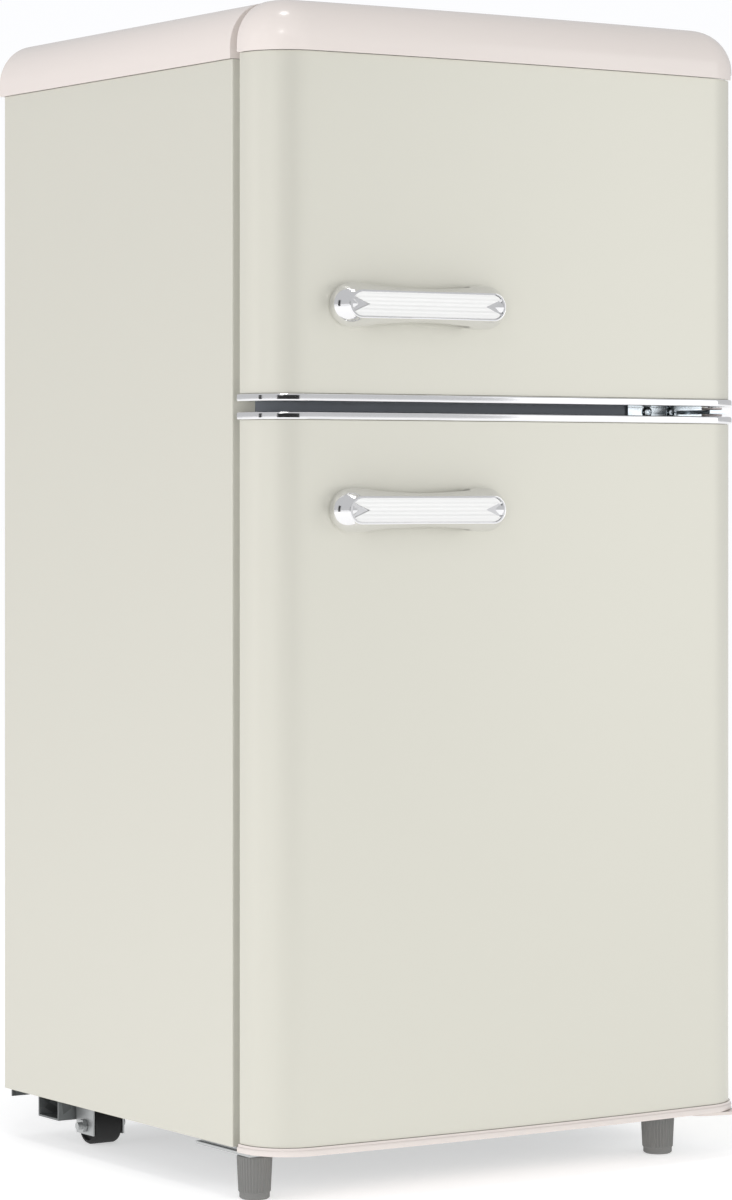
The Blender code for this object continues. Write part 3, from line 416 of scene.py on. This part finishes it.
def door_block(outset, low, high, front_cuts=30, corner_steps=14):
    """A solid with a door's plan, grown by outset: two rounded corners and a bowed front."""
    sizes = bpy.context.scene.fridge_sizes
    half = HALF + outset
    front = SKIN_LOW.y + sizes.door_bow - outset
    bm = block((-half, front, low), (half, REAR, high))
    corners = edges_where(bm, lambda c: abs(abs(c.x) - half) < NEAR and abs(c.y - front) < NEAR)
    round_edges(bm, [e for e in corners if upright(e)], sizes.door_corner + outset, corner_steps)
    for cut in range(1, front_cuts):
        x = (half - sizes.door_corner - outset) * (2 * cut / front_cuts - 1)
        faces = [f for f in bm.faces if all(v.co.y < front + NEAR for v in f.verts)]
        nearby = {e for f in faces for e in f.edges} | {v for f in faces for v in f.verts}
        bmesh.ops.bisect_plane(bm, geom=faces + list(nearby), plane_co=(x, 0, 0), plane_no=(1, 0, 0))
    for v in bm.verts:
        if v.co.y < REAR - NEAR:
            v.co.y -= sizes.door_bow * (1 - (v.co.x / half) ** 2)
    return bm


def rod(centre, radius, length, axis="Z", count=32):
    """A plain round bar, as a cutting or joining shape."""
    return turned([(radius, -length / 2), (radius, length / 2)], centre, axis, count)


def eased_copy(node, width, angle=38):
    """A piece from a merged copy of a frame node, its flat faces joined and its sharp edges eased."""
    bm = bmesh.new()
    bm.from_mesh(frame["nodes"][node].data)
    bmesh.ops.remove_doubles(bm, verts=bm.verts, dist=MERGE)
    bmesh.ops.dissolve_limit(bm, angle_limit=math.radians(1), verts=bm.verts, edges=bm.edges)
    sharp = [e for e in bm.edges if e.is_manifold and e.calc_face_angle() > math.radians(angle)]
    bmesh.ops.bevel(
        bm, geom=sharp, offset=width, segments=2, profile=0.5, affect="EDGES", material=-1, clamp_overlap=True
    )
    return piece(f"{node}_eased", bm, BODY_OF[node], SLOT_OF[node], [node])


# ---------------------------------------------------------------- outer shell


class SheetPiecesOperator(bpy.types.Operator):
    """Panels, rails, brackets, housings and shelves, with their edges eased as folded or moulded"""

    bl_idname = "fridge.sheet_pieces"
    bl_label = "Panels and brackets"
    fine = ("middle_hinge", "top_hinge", "lower_hinge", "left_roller_bracket", "right_roller_bracket")
    # Pieces under the cabinet, which take the darker zinc as painted shade
    painted_shade_nodes = ("rear_crossmember", "base_panel", "compressor_tray")
    folded = ("left_side_panel", "right_side_panel", "left_foot_bracket", "mullion_rail")
    moulded = ("thermostat_housing", "crisper_cover", "lower_shelf", "upper_shelf", "drip_pan", "back_panel")

    def execute(self, context):
        for nodes, width in ((self.fine, 0.0002), (self.folded, 0.0003), (self.moulded, 0.0006)):
            for node in nodes:
                eased_copy(node, width)
        bpy.data.objects["middle_hinge_eased"].data.materials[0] = bpy.data.materials["bright_zinc"]
        # Painted shade: the pieces under the cabinet take the darker copy of the zinc
        for node in self.painted_shade_nodes:
            frame["nodes"][node].data.materials[0] = bpy.data.materials["zinc_painted_shade"]
        return {"FINISHED"}


class DoorSkinsOperator(bpy.types.Operator):
    """Painted sheet wrapped round the sides and bowed front of both doors"""

    bl_idname = "fridge.door_skins"
    bl_label = "Door skins"

    def execute(self, context):
        for door in ("freezer", "fridge"):
            low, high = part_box(f"{door}_door_skin")
            bm = door_block(0.0, low.z, high.z)
            ends = [f for f in bm.faces if abs(f.normal.z) > 0.9]
            back = [f for f in bm.faces if f.normal.y > 0.9]
            bmesh.ops.delete(bm, geom=ends + back, context="FACES")
            skin = piece(f"{door}_skin", bm, f"{door}_door", "cream_steel", [f"{door}_door_skin"])
            shell(skin, 0.001)
        return {"FINISHED"}


class CapsOperator(bpy.types.Operator):
    """Moulded covers over the freezer door and the cabinet, hollow underneath"""

    bl_idname = "fridge.caps"
    bl_label = "Caps"

    def execute(self, context):
        sizes = context.scene.fridge_sizes
        outset = CAP_HIGH.x - HALF
        bm = door_block(outset, CAP_LOW.z, CAP_HIGH.z)
        top = edges_where(bm, lambda c: c.z > CAP_HIGH.z - NEAR)
        shoulder = [e for e in top if not all(v.co.y > REAR - NEAR for v in e.verts)]
        round_edges(bm, shoulder, sizes.cap_round - 0.001, 12)
        bottom = [f for f in bm.faces if f.normal.z < -0.9 and f.calc_center_median().z < CAP_LOW.z + 1e-4]
        bmesh.ops.delete(bm, geom=bottom, context="FACES")
        cap = piece("freezer_cap", bm, "freezer_door", "ivory_plastic", ["freezer_door_cap"], angle=50)
        shell(cap, sizes.wall)
        combine(cap, self.arm_sweep(), angle=50)

        low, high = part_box("top_cap")
        bm = block(low, high)
        crown = edges_where(bm, lambda c: c.z > high.z - NEAR)
        sides = [e for e in crown if abs(e.verts[0].co.x - e.verts[1].co.x) < NEAR]
        round_edges(bm, sides, sizes.cap_round, 16)
        bottom = [f for f in bm.faces if f.normal.z < -0.9]
        bmesh.ops.delete(bm, geom=bottom, context="FACES")
        cap = piece("cabinet_cap", bm, "cabinet", "ivory_plastic", ["top_cap"], angle=50)
        shell(cap, sizes.wall)
        half, depth, room = 0.009, 0.01, 0.001
        slot_low = (HINGE.x - half, low.y - depth, CAP_LOW.z)
        slot_high = (HINGE.x + half, low.y + depth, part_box("top_hinge")[1].z + room)
        combine(cap, block(slot_low, slot_high), angle=50)
        return {"FINISHED"}

    def arm_sweep(self):
        """The room that the fixed top hinge arm needs inside the cap as the door swings."""
        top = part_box("top_hinge")[1].z + 0.001
        under = CAP_LOW.z - 0.004
        reach, half, turns, front = 0.050, 0.0095, 12, 0.034
        swing = math.radians(120)
        bm = bmesh.new()
        verts = [bm.verts.new((HINGE.x - half, HINGE.y - half, under))]
        for k in range(turns + 1):
            t = swing * k / turns
            out = Vector((math.sin(t), math.cos(t), 0)) * reach
            side = Vector((-math.cos(t), math.sin(t), 0)) * (half if k == 0 else 0)
            verts.append(bm.verts.new(Vector((HINGE.x, HINGE.y, under)) + out + side))
        verts.append(bm.verts.new((HINGE.x + reach, HINGE.y - front, under)))
        face = bm.faces.new(verts)
        made = bmesh.ops.extrude_face_region(bm, geom=[face])
        lifted = [v for v in made["geom"] if isinstance(v, bmesh.types.BMVert)]
        bmesh.ops.translate(bm, vec=(0, 0, top - under), verts=lifted)
        return bm


class TrimsOperator(bpy.types.Operator):
    """Bright trims along the doors' facing edges, and the stepped ivory trim under the fridge door"""

    bl_idname = "fridge.trims"
    bl_label = "Trims"
    easing = 0.0015
    step_down, step_in = 0.0016, 0.0012
    pin_room = 0.0037

    def execute(self, context):
        for node, slot in (
            ("freezer_door_chrome_trim", "chrome"),
            ("fridge_door_chrome_trim", "chrome"),
            ("fridge_door_bottom_trim", "ivory_plastic"),
        ):
            low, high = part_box(node)
            outset = high.x - HALF
            top = high.z if slot == "chrome" else high.z - self.step_down
            bm = door_block(outset, low.z, top)
            rim = [e for e in bm.edges if e.is_manifold and e.calc_face_angle() > math.radians(60)]
            rim = [e for e in rim if not upright(e) and not all(v.co.y > REAR - NEAR for v in e.verts)]
            round_edges(bm, rim, self.easing, 4)
            trim = piece(node.replace("door_", ""), bm, node.split("_")[0] + "_door", slot, [node], angle=60)
            if slot != "chrome":
                combine(trim, door_block(outset - self.step_in, low.z + 0.001, high.z), "UNION")
            combine(trim, rod((HINGE.x, HINGE.y, (low.z + high.z) / 2), self.pin_room, 0.05), angle=60)
        return {"FINISHED"}


def stadium(half, radius, near, far):
    """A flat bar with round ends, lying across the door."""
    bm = block((-half, near, -radius), (half, far, radius))
    corners = [e for e in bm.edges if abs(e.verts[0].co.y - e.verts[1].co.y) > 1e-4]
    round_edges(bm, corners, radius * 0.9999, 16)
    return bm


class HandlesOperator(bpy.types.Operator):
    """Waisted bright handle with a ribbed pale insert on each door"""

    bl_idname = "fridge.handles"
    bl_label = "Handles"
    base = (0.0750, 0.0162, 0.0130)
    front = (0.0680, 0.0106, 0.0104)
    insert = (0.0655, 0.0088)
    reach = 0.022

    def execute(self, context):
        sizes = context.scene.fridge_sizes
        for door in ("freezer", "fridge"):
            low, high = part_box(f"{door}_handle")
            centre = (low + high) / 2
            slope = 2 * sizes.door_bow * centre.x / HALF**2
            lean = math.atan(slope)
            surface = SKIN_LOW.y + sizes.door_bow * (centre.x / HALF) ** 2
            place = Matrix.Translation((centre.x, surface, centre.z)) @ Matrix.Rotation(lean, 4, "Z")
            front_y = -self.reach + math.sin(abs(lean)) * self.front[0]
            self.body(door, place, front_y)
            self.insert_piece(door, place, front_y, sizes.insert_ribs)
        return {"FINISHED"}

    def outline(self, t, size):
        """A point of the waisted outline at angle t round it: round ends, and a cosine dip between them."""
        half, radius, waist = size
        reach = half - radius
        s, side = math.cos(t), (1 if math.sin(t) >= 0 else -1)
        edge = 0.34
        if abs(s) <= edge:
            x = reach * s / edge
            height = radius - (radius - waist) * (1 + math.cos(math.pi * x / reach)) / 2
            return Vector((x, 0, side * height))
        turn = (1 - (abs(s) - edge) / (1 - edge)) * math.pi / 2
        return Vector((math.copysign(reach + radius * math.cos(turn), s), 0, side * radius * math.sin(turn)))

    def body(self, door, place, front_y):
        """The bright body: a flared foot, a waisted taper, finger room behind and a pocket for the insert."""
        bm = bmesh.new()
        rings = []
        base = Vector(self.base)
        foot = base - Vector((0.0020, 0.0015, 0.0010))
        for k in range(6):
            t = k / 5 * math.pi / 2
            rings.append((foot.lerp(base, math.sin(t)), 0.0008 - 0.0066 * (1 - math.cos(t)) - 0.0012 * k / 5))
        steps = 14
        for k in range(steps + 1):
            t = k / steps
            size = base.lerp(Vector(self.front), t**1.5)
            rings.append((size, front_y + 0.0008 + (rings[5][1] - front_y - 0.0008) * (1 - t)))
        rings += [(Vector(self.front) - Vector((0.0003,) * 3), front_y + 0.0002)]
        rings += [(Vector(self.front) - Vector((0.0009,) * 3), front_y)]
        loops = []
        for index, (size, y) in enumerate(rings):
            closed = index in (0, len(rings) - 1)
            loop = bmesh.ops.create_circle(bm, segments=128, radius=1, cap_ends=closed)["verts"]
            for v in loop:
                v.co = place @ (self.outline(math.atan2(v.co.y, v.co.x), size) + Vector((0, y, 0)))
            loops.append(ring_edges(loop))
        for low, high in zip(loops, loops[1:]):
            bmesh.ops.bridge_loops(bm, edges=low + high)
        handle = piece(f"{door}_handle_body", bm, f"{door}_door", "chrome", [f"{door}_handle"], angle=50)
        gap = block((-0.043, -0.0118, -0.03), (0.043, 0.02, 0.03))
        round_edges(gap, edges_where(gap, lambda c: c.y < 0), 0.004, 5)
        gap.transform(place)
        combine(handle, gap, angle=50)
        half, radius = self.insert
        pocket = stadium(half + 0.0003, radius + 0.0003, front_y - 0.01, front_y + 0.0022)
        pocket.transform(place)
        combine(handle, pocket, angle=50)
        for sign in (-1, 1):
            point = bmesh.new()
            bmesh.ops.create_cone(
                point, cap_ends=True, segments=8, radius1=0.0062, radius2=0.0002, depth=0.0150
            )
            point.transform(Matrix.Rotation(-sign * math.pi / 2, 4, "Y"))
            point.transform(Matrix.Diagonal((1, 0.80, 1, 1)))
            point.transform(place @ Matrix.Translation((sign * (half - 0.0068), front_y + 0.0050, 0)))
            combine(handle, point, "UNION", angle=20)

    def insert_piece(self, door, place, front_y, ribs):
        """The pale insert: fine ribs along its front, and a pointed notch in each end."""
        half, radius = self.insert
        bm = stadium(half, radius, front_y + 0.0004, front_y + 0.0019)
        slice_across(bm, 2, -radius, radius, ribs * 4)
        for v in bm.verts:
            if v.co.y < front_y + 0.001 and abs(v.co.z) < radius * 0.97:
                wave = 0.5 + 0.5 * math.cos(ribs * math.pi * v.co.z / radius)
                v.co.y += 0.0003 * wave
        bm.transform(place)
        name = f"{door}_handle_insert"
        bar = piece(f"{door}_handle_front", bm, f"{door}_door", "handle_insert", [name], angle=80)
        for sign in (-1, 1):
            notch = bmesh.new()
            mouth, point, rise = sign * (half + 0.001), sign * (half - 0.0152), 0.0068
            ends = [(mouth, rise), (point, 0), (mouth, -rise)]
            face = notch.faces.new([notch.verts.new((x, front_y - 0.002, z)) for x, z in ends])
            made = bmesh.ops.extrude_face_region(notch, geom=[face])
            far = [v for v in made["geom"] if isinstance(v, bmesh.types.BMVert)]
            bmesh.ops.translate(notch, vec=(0, 0.006, 0), verts=far)
            notch.transform(place)
            combine(bar, notch, angle=80)


# ---------------------------------------------------------------- feet, rollers and hinges


class FeetOperator(bpy.types.Operator):
    """Ribbed front feet on their studs"""

    bl_idname = "fridge.feet"
    bl_label = "Feet"

    def execute(self, context):
        ribs = context.scene.fridge_sizes.foot_ribs
        for side in ("left", "right"):
            low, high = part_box(f"{side}_foot")
            centre = (low + high) / 2
            wide = (high.x - low.x) / 2
            stud, rib = 0.0120, 0.0005
            top = high.z - stud
            profile = [
                (0.0096, low.z),
                (0.0104, low.z + 0.0004),
                (0.0112, low.z + 0.0012),
                (0.0112, low.z + 0.0046),
                (wide - 0.0016, low.z + 0.0052),
                (wide - 0.0012, low.z + 0.0056, rib),
                (wide, top - 0.0014, rib),
                (wide - 0.0003, top - 0.0006),
                (wide - 0.0010, top),
                (0.0038, top),
                (0.0038, high.z - 0.0006),
                (0.0033, high.z),
            ]
            bm = turned(profile, (centre.x, centre.y, 0), "Z", ribs * 6, ribs)
            piece(f"{side}_ribbed_foot", bm, f"{side}_foot", "grey_plastic", [f"{side}_foot"], angle=28)
        return {"FINISHED"}


class RollersOperator(bpy.types.Operator):
    """Rear rollers with a rounded tread and a recessed hub, on axles with nuts"""

    bl_idname = "fridge.rollers"
    bl_label = "Rollers"

    def execute(self, context):
        for side in ("left", "right"):
            low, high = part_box(f"{side}_roller")
            centre = (low + high) / 2
            half, radius = (high.x - low.x) / 2, (high.z - low.z) / 2
            profile = [
                (0.0037, -half + 0.0010),
                (0.0065, -half + 0.0010),
                (0.0070, -half + 0.0030),
                (radius - 0.0035, -half + 0.0030),
                (radius - 0.0030, -half + 0.0002),
                (radius - 0.0022, -half),
                (radius - 0.0008, -half + 0.0008),
                (radius, -half + 0.0024),
            ]
            profile += [(r, -h) for r, h in reversed(profile)]
            bm = turned(profile, centre, "X", 72, bored=True)
            piece(f"{side}_wheel", bm, f"{side}_roller", "black_rubber", [f"{side}_roller"], angle=40)
        return {"FINISHED"}


class HingeFittingsOperator(bpy.types.Operator):
    """Cross-head screws, nylon washers on the middle pin, and the cover in front of the lower hinge"""

    bl_idname = "fridge.hinge_fittings"
    bl_label = "Hinge fittings"

    def execute(self, context):
        self.screws()
        self.washers()
        self.cover()
        return {"FINISHED"}

    def screws(self):
        """The middle hinge plate's two screws: a domed head, a cross in it, and the shank."""
        for side in ("left", "right"):
            node = f"middle_hinge_screw_{side}"
            low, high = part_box(node)
            centre = (low + high) / 2
            radius = (high.x - low.x) / 2
            crown = low.y
            profile = [
                (0.0006, crown),
                (radius * 0.60, crown + 0.0001),
                (radius * 0.84, crown + 0.0005),
                (radius * 0.97, crown + 0.0014),
                (radius, crown + 0.0023),
                (0.0019, crown + 0.0024),
                (0.0019, high.y),
            ]
            screw = piece(
                f"hinge_screw_{side}",
                turned([(r, y - centre.y) for r, y in profile], centre, "Y", 48),
                "cabinet",
                "galvanised_steel",
                [node],
                material="bright_zinc",
            )
            for wide, tall in ((0.0042, 0.0009), (0.0009, 0.0042)):
                slot = block(
                    (centre.x - wide / 2, crown - 0.001, centre.z - tall / 2),
                    (centre.x + wide / 2, crown + 0.0014, centre.z + tall / 2),
                )
                combine(screw, slot)

    def washers(self):
        """One washer between the middle hinge plate and each door's trim."""
        arm_low, arm_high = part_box("middle_hinge")
        middle = (arm_low.z + arm_high.z) / 2
        gap = CHROME_LOW.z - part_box("fridge_door_chrome_trim")[1].z
        for name, sign in (("upper", 1), ("lower", -1)):
            inner, outer = sorted((middle + sign * 0.0018, middle + sign * (gap / 2 - 0.0004)))
            bore, rim = 0.0032, 0.0080
            section = [(bore, inner), (rim - 0.0004, inner), (rim, inner + 0.0003)]
            section += [(rim, outer), (bore, outer)]
            ring = turned(section, (HINGE.x, HINGE.y, 0), "Z", 48, bored=True)
            piece(f"{name}_hinge_washer", ring, "cabinet", "white_plastic", material="nylon")

    def cover(self):
        """The thin cover in front of the lower hinge, set back towards its left."""
        trim_low, trim_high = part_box("fridge_door_bottom_trim")
        hinge_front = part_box("lower_hinge")[0].y - 0.001
        right = trim_high.x - 0.003
        low = (HINGE.x - 0.030, trim_low.y + 0.001, trim_low.z - 0.0028)
        bm = block(low, (right, hinge_front, trim_low.z - 0.0003))
        front = [e for e in bm.edges if upright(e) and e.verts[0].co.y < hinge_front - 0.001]
        round_edges(bm, front, 0.010, 6)
        for v in bm.verts:
            v.co.y = min(v.co.y + 0.30 * (right - v.co.x), hinge_front)
        piece("lower_hinge_cover", bm, "cabinet", "ivory_plastic")


# ---------------------------------------------------------------- inside


def open_box(low, high, corner):
    """An open-topped box with rounded upright and bottom edges, as a surface."""
    bm = block(low, high)
    top = [f for f in bm.faces if f.normal.z > 0.9]
    bmesh.ops.delete(bm, geom=top, context="FACES")
    edges = [e for e in bm.edges if not e.is_boundary]
    round_edges(bm, edges, corner, 4)
    return bm


class TraysOperator(bpy.types.Operator):
    """Clear drawer and door racks, with rolled rims"""

    bl_idname = "fridge.trays"
    bl_label = "Drawer and racks"
    wall, lip, grip_depth = 0.0022, 0.0014, 0.005

    def execute(self, context):
        trays = {
            "freezer_door_rack": "freezer_door",
            "fridge_door_bottle_rack": "fridge_door",
            "fridge_door_upper_rack": "fridge_door",
            "crisper_drawer": "crisper_drawer",
        }
        for node, body in trays.items():
            low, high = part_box(node)
            if node == "crisper_drawer":
                low.y += self.grip_depth
            tray = piece(f"{node}_tray", open_box(low, high, 0.008), body, "clear_plastic", [node])
            shell(tray, self.wall)
            rim = eased_block(Vector((low.x, low.y, high.z - 0.004)), high, self.lip * 0.9, 3)
            combine(tray, rim, "UNION")
            inset = 0.0026
            room = block(low + Vector((inset, inset, 0.0030)), high + Vector((-inset, -inset, 0.02)))
            combine(tray, room)
            if node == "crisper_drawer":
                grip_low = (low.x / 3, low.y - self.grip_depth, high.z - 0.016)
                grip_high = (high.x / 3, low.y + 0.001, high.z - 0.012)
                combine(tray, eased_block(grip_low, grip_high, 0.001, 3), "UNION")
        return {"FINISHED"}


class ThermostatOperator(bpy.types.Operator):
    """Ribbed thermostat knob with its pointer, and the ribbed lamp lens"""

    bl_idname = "fridge.thermostat"
    bl_label = "Thermostat and lamp"

    def execute(self, context):
        self.knob()
        self.lens()
        return {"FINISHED"}

    def knob(self):
        """A knob with a ribbed grip, a flange and a cut pointer."""
        low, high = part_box("thermostat_knob")
        centre = (low + high) / 2
        radius = (high.x - low.x) / 2
        depth = high.y - low.y
        profile = [
            (radius * 0.50, -depth / 2),
            (radius * 0.66, -depth / 2 + 0.0004),
            (radius * 0.76, -depth / 2 + 0.0018, 0.0005),
            (radius * 0.84, depth / 2 - 0.0050, 0.0005),
            (radius * 0.97, depth / 2 - 0.0036),
            (radius, depth / 2 - 0.0028),
            (radius, depth / 2),
        ]
        bm = turned(profile, centre, "Y", 144, 24)
        knob = piece("ribbed_knob", bm, "thermostat_knob", "white_plastic", ["thermostat_knob"])
        half = 0.0007
        pointer_low = (centre.x - half, low.y - 0.001, centre.z + 0.002)
        pointer_high = (centre.x + half, low.y + 0.0006, centre.z + 0.0085)
        combine(knob, block(pointer_low, pointer_high))

    def lens(self):
        """The lamp's lens, its front in waves."""
        low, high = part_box("lamp_lens")
        bm = eased_block(low, high, 0.0010, 2)
        waves, depth = 16, 0.0004
        slice_across(bm, 0, low.x, high.x, waves * 2)
        for v in bm.verts:
            if v.co.y < low.y + 0.0002:
                share = (v.co.x - low.x) / (high.x - low.x)
                v.co.y += depth * (0.5 + 0.5 * math.cos(2 * math.pi * waves * share))
        piece("ribbed_lens", bm, "cabinet", "clear_plastic", ["lamp_lens"])


class CompressorOperator(bpy.types.Operator):
    """Smooth domed compressor shell on its plate and rubber mounts"""

    bl_idname = "fridge.compressor"
    bl_label = "Compressor"

    def execute(self, context):
        low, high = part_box("compressor")
        centre = (low + high) / 2
        plate_z = low.z + 0.0083
        radius, flat, dome = 0.052, 0.010, 0.034
        seam = low.z + 0.0818
        profile = [(flat, high.z)]
        for k in range(1, 13):
            t = k / 12 * math.pi / 2
            profile.append((flat + (radius - flat) * math.sin(t), high.z - dome * (1 - math.cos(t))))
        profile += [(radius, seam + 0.003), (radius + 0.005, seam + 0.002), (radius + 0.005, seam - 0.002)]
        profile += [(radius - 0.001, seam - 0.003)]
        for k in range(9):
            t = k / 8 * math.pi / 2
            profile.append((0.012 + (radius - 0.013) * math.cos(t), plate_z + dome - 0.028 * math.sin(t)))
        bm = turned(profile, (0, 0, 0), "Z", 96)
        bmesh.ops.scale(bm, vec=(1.12, 0.96, 1), verts=bm.verts)
        bmesh.ops.translate(bm, vec=(centre.x, centre.y, 0), verts=bm.verts)
        shell_piece = piece("compressor_shell", bm, "cabinet", "black_steel", ["compressor"], angle=45)
        plate = eased_block(
            (low.x, centre.y - 0.045, plate_z), (high.x, centre.y + 0.045, plate_z + 0.0115), 0.0015, 3
        )
        combine(shell_piece, plate, "UNION", angle=45)
        for dx in (-0.072, 0.072):
            for dy in (-0.034, 0.034):
                foot = [(0.0085, low.z), (0.0100, low.z + 0.0015), (0.0100, low.z + 0.0040)]
                foot += [(0.0075, low.z + 0.0060), (0.0075, plate_z + 0.0135)]
                mount = turned(foot, (centre.x + dx, centre.y + dy, 0), "Z", 32)
                combine(shell_piece, mount, "UNION", angle=45)
        return {"FINISHED"}


class ShadingOperator(bpy.types.Operator):
    """Weights the new pieces' normals by face area, so that broad flat faces stay flat"""

    bl_idname = "fridge.shading"
    bl_label = "Shading"

    def execute(self, context):
        own = set(frame["nodes"].values())
        for obj in context.scene.objects:
            if obj.type == "MESH" and obj not in own:
                weighted = obj.modifiers.new("normals", "WEIGHTED_NORMAL")
                weighted.keep_sharp = True
        return {"FINISHED"}


# ---------------------------------------------------------------- stage


class StageOperator(bpy.types.Operator):
    """Pale floor, soft studio lights and the camera"""

    bl_idname = "fridge.stage"
    bl_label = "Stage"

    def execute(self, context):
        scene = context.scene
        scene.view_settings.view_transform = "Standard"
        self.floor(scene)
        self.world(scene)
        self.lights(scene)
        self.cards(scene)
        self.camera(scene)
        return {"FINISHED"}

    def floor(self, scene):
        """A broad pale floor that glows a little, so that it stays white in the picture."""
        bm = bmesh.new()
        bmesh.ops.create_grid(bm, x_segments=1, y_segments=1, size=40)
        mesh = bpy.data.meshes.new("floor")
        bm.to_mesh(mesh)
        bm.free()
        floor = bpy.data.objects.new("floor", mesh)
        pale = finish("floor", (0.78, 0.78, 0.78), 0.9, Emission_Color=(1, 1, 1, 1), Emission_Strength=0.50)
        floor.data.materials.append(pale)
        scene.collection.objects.link(floor)

    def world(self, scene):
        """A pale surround, brighter to the camera than to the pieces."""
        world = bpy.data.worlds.new("studio")
        scene.world = world
        world.use_nodes = True
        background = world.node_tree.nodes["Background"]
        background.inputs["Color"].default_value = (0.98, 0.985, 1.0, 1)
        rays = world.node_tree.nodes.new("ShaderNodeLightPath")
        level = world.node_tree.nodes.new("ShaderNodeMapRange")
        level.inputs["To Min"].default_value = 0.62
        world.node_tree.links.new(rays.outputs["Is Camera Ray"], level.inputs["Value"])
        world.node_tree.links.new(level.outputs["Result"], background.inputs["Strength"])

    def lights(self, scene):
        """Area lights by name, place, width, height, power and whether they show in glossy pieces."""
        target = Vector((0, 0, 0.45))
        for name, place, width, height, power, shines in (
            ("key", (-3.2, 0.5, 0.6), 1.8, 2.6, 23, False),
            ("high_spark", (-0.5, -0.33, 3.2), 0.36, 0.36, 8, True),
            ("left_spark", (-1.8, -1.8, 2.1), 0.32, 0.32, 3, True),
            ("fill", (2.6, -2.7, 1.0), 1.4, 2.4, 10, True),
            ("top", (0.0, 0.4, 3.2), 2.4, 2.4, 2, False),
            ("front", (-2.1, -2.6, 0.6), 0.9, 0.9, 15, False),
            ("low", (-1.2, -1.8, 0.06), 1.8, 0.1, 1, False),
        ):
            light = bpy.data.lights.new(name, "AREA")
            light.shape = "RECTANGLE"
            light.size, light.size_y = width, height
            light.energy = power
            light.color = (1.0, 0.955, 0.99) if name == "key" else (1.0, 1.0, 1.0)
            lamp = bpy.data.objects.new(name, light)
            lamp.location = place
            lamp.rotation_euler = (target - Vector(place)).to_track_quat("-Z", "Y").to_euler()
            lamp.visible_camera = False
            lamp.visible_glossy = shines
            scene.collection.objects.link(lamp)

    def cards(self, scene):
        """Dark cards that show only as reflections in the bright pieces."""
        for name, place, width, height in (
            ("broad_card", (-2.1, -3.6, 0.4), 3.4, 3.4),
            ("side_card", (-4.2, -0.2, 0.5), 0.5, 3.0),
        ):
            bm = block((-width / 2, -0.01, -height / 2), (width / 2, 0.01, height / 2))
            facing = math.atan2(place[1], place[0]) + math.pi / 2
            bm.transform(Matrix.Translation(place) @ Matrix.Rotation(facing, 4, "Z"))
            mesh = bpy.data.meshes.new(name)
            bm.to_mesh(mesh)
            bm.free()
            card = bpy.data.objects.new(name, mesh)
            card.data.materials.append(finish("card", (0.02, 0.02, 0.02), 0.9))
            scene.collection.objects.link(card)
            card.visible_camera = card.visible_shadow = card.visible_diffuse = False

    def camera(self, scene):
        """A long lens from the front left, a little over half way up."""
        data = bpy.data.cameras.new("camera")
        data.lens = 121.7
        data.sensor_width = 36
        data.shift_y = -0.0953
        data.clip_end = 60
        camera = bpy.data.objects.new("camera", data)
        camera.location = (-1.7715, FACE - 2.5396, BASE + 0.4850)
        camera.rotation_euler = (math.pi / 2, 0, math.radians(-33.31))
        scene.collection.objects.link(camera)
        scene.camera = camera


# ---------------------------------------------------------------- add-on


PIECES = (
    FinishesOperator,
    SheetPiecesOperator,
    DoorSkinsOperator,
    CapsOperator,
    TrimsOperator,
    HandlesOperator,
    FeetOperator,
    RollersOperator,
    HingeFittingsOperator,
    TraysOperator,
    ThermostatOperator,
    CompressorOperator,
    ShadingOperator,
    StageOperator,
)


class FridgePanel(bpy.types.Panel):
    """Lists the fridge's operators and settings"""

    bl_idname = "VIEW3D_PT_fridge"
    bl_label = "Retro Mini Fridge"
    bl_space_type = "VIEW_3D"
    bl_region_type = "UI"
    bl_category = "Fridge"

    def draw(self, context):
        for group in (context.scene.fridge_sizes, context.scene.fridge_colours):
            column = self.layout.column(align=True)
            for name in group.__annotations__:
                column.prop(group, name)
        for operator in PIECES:
            self.layout.operator(operator.bl_idname)


CLASSES = (FridgeSizes, FridgeColours, *PIECES, FridgePanel)


def register():
    """Makes the settings, operators and panel known to Blender."""
    for cls in CLASSES:
        bpy.utils.register_class(cls)
    bpy.types.Scene.fridge_sizes = PointerProperty(type=FridgeSizes)
    bpy.types.Scene.fridge_colours = PointerProperty(type=FridgeColours)


def unregister():
    """Takes them away again."""
    del bpy.types.Scene.fridge_colours
    del bpy.types.Scene.fridge_sizes
    for cls in reversed(CLASSES):
        bpy.utils.unregister_class(cls)


def main():
    """Builds every group of pieces and the stage."""
    register()
    for old in [o for o in bpy.data.objects if o.type in {"LIGHT", "CAMERA"} or o.name == "Cube"]:
        bpy.data.objects.remove(old)
    for operator in PIECES:
        getattr(bpy.ops.fridge, operator.bl_idname.split(".")[1])()


if __name__ == "__main__":
    main()
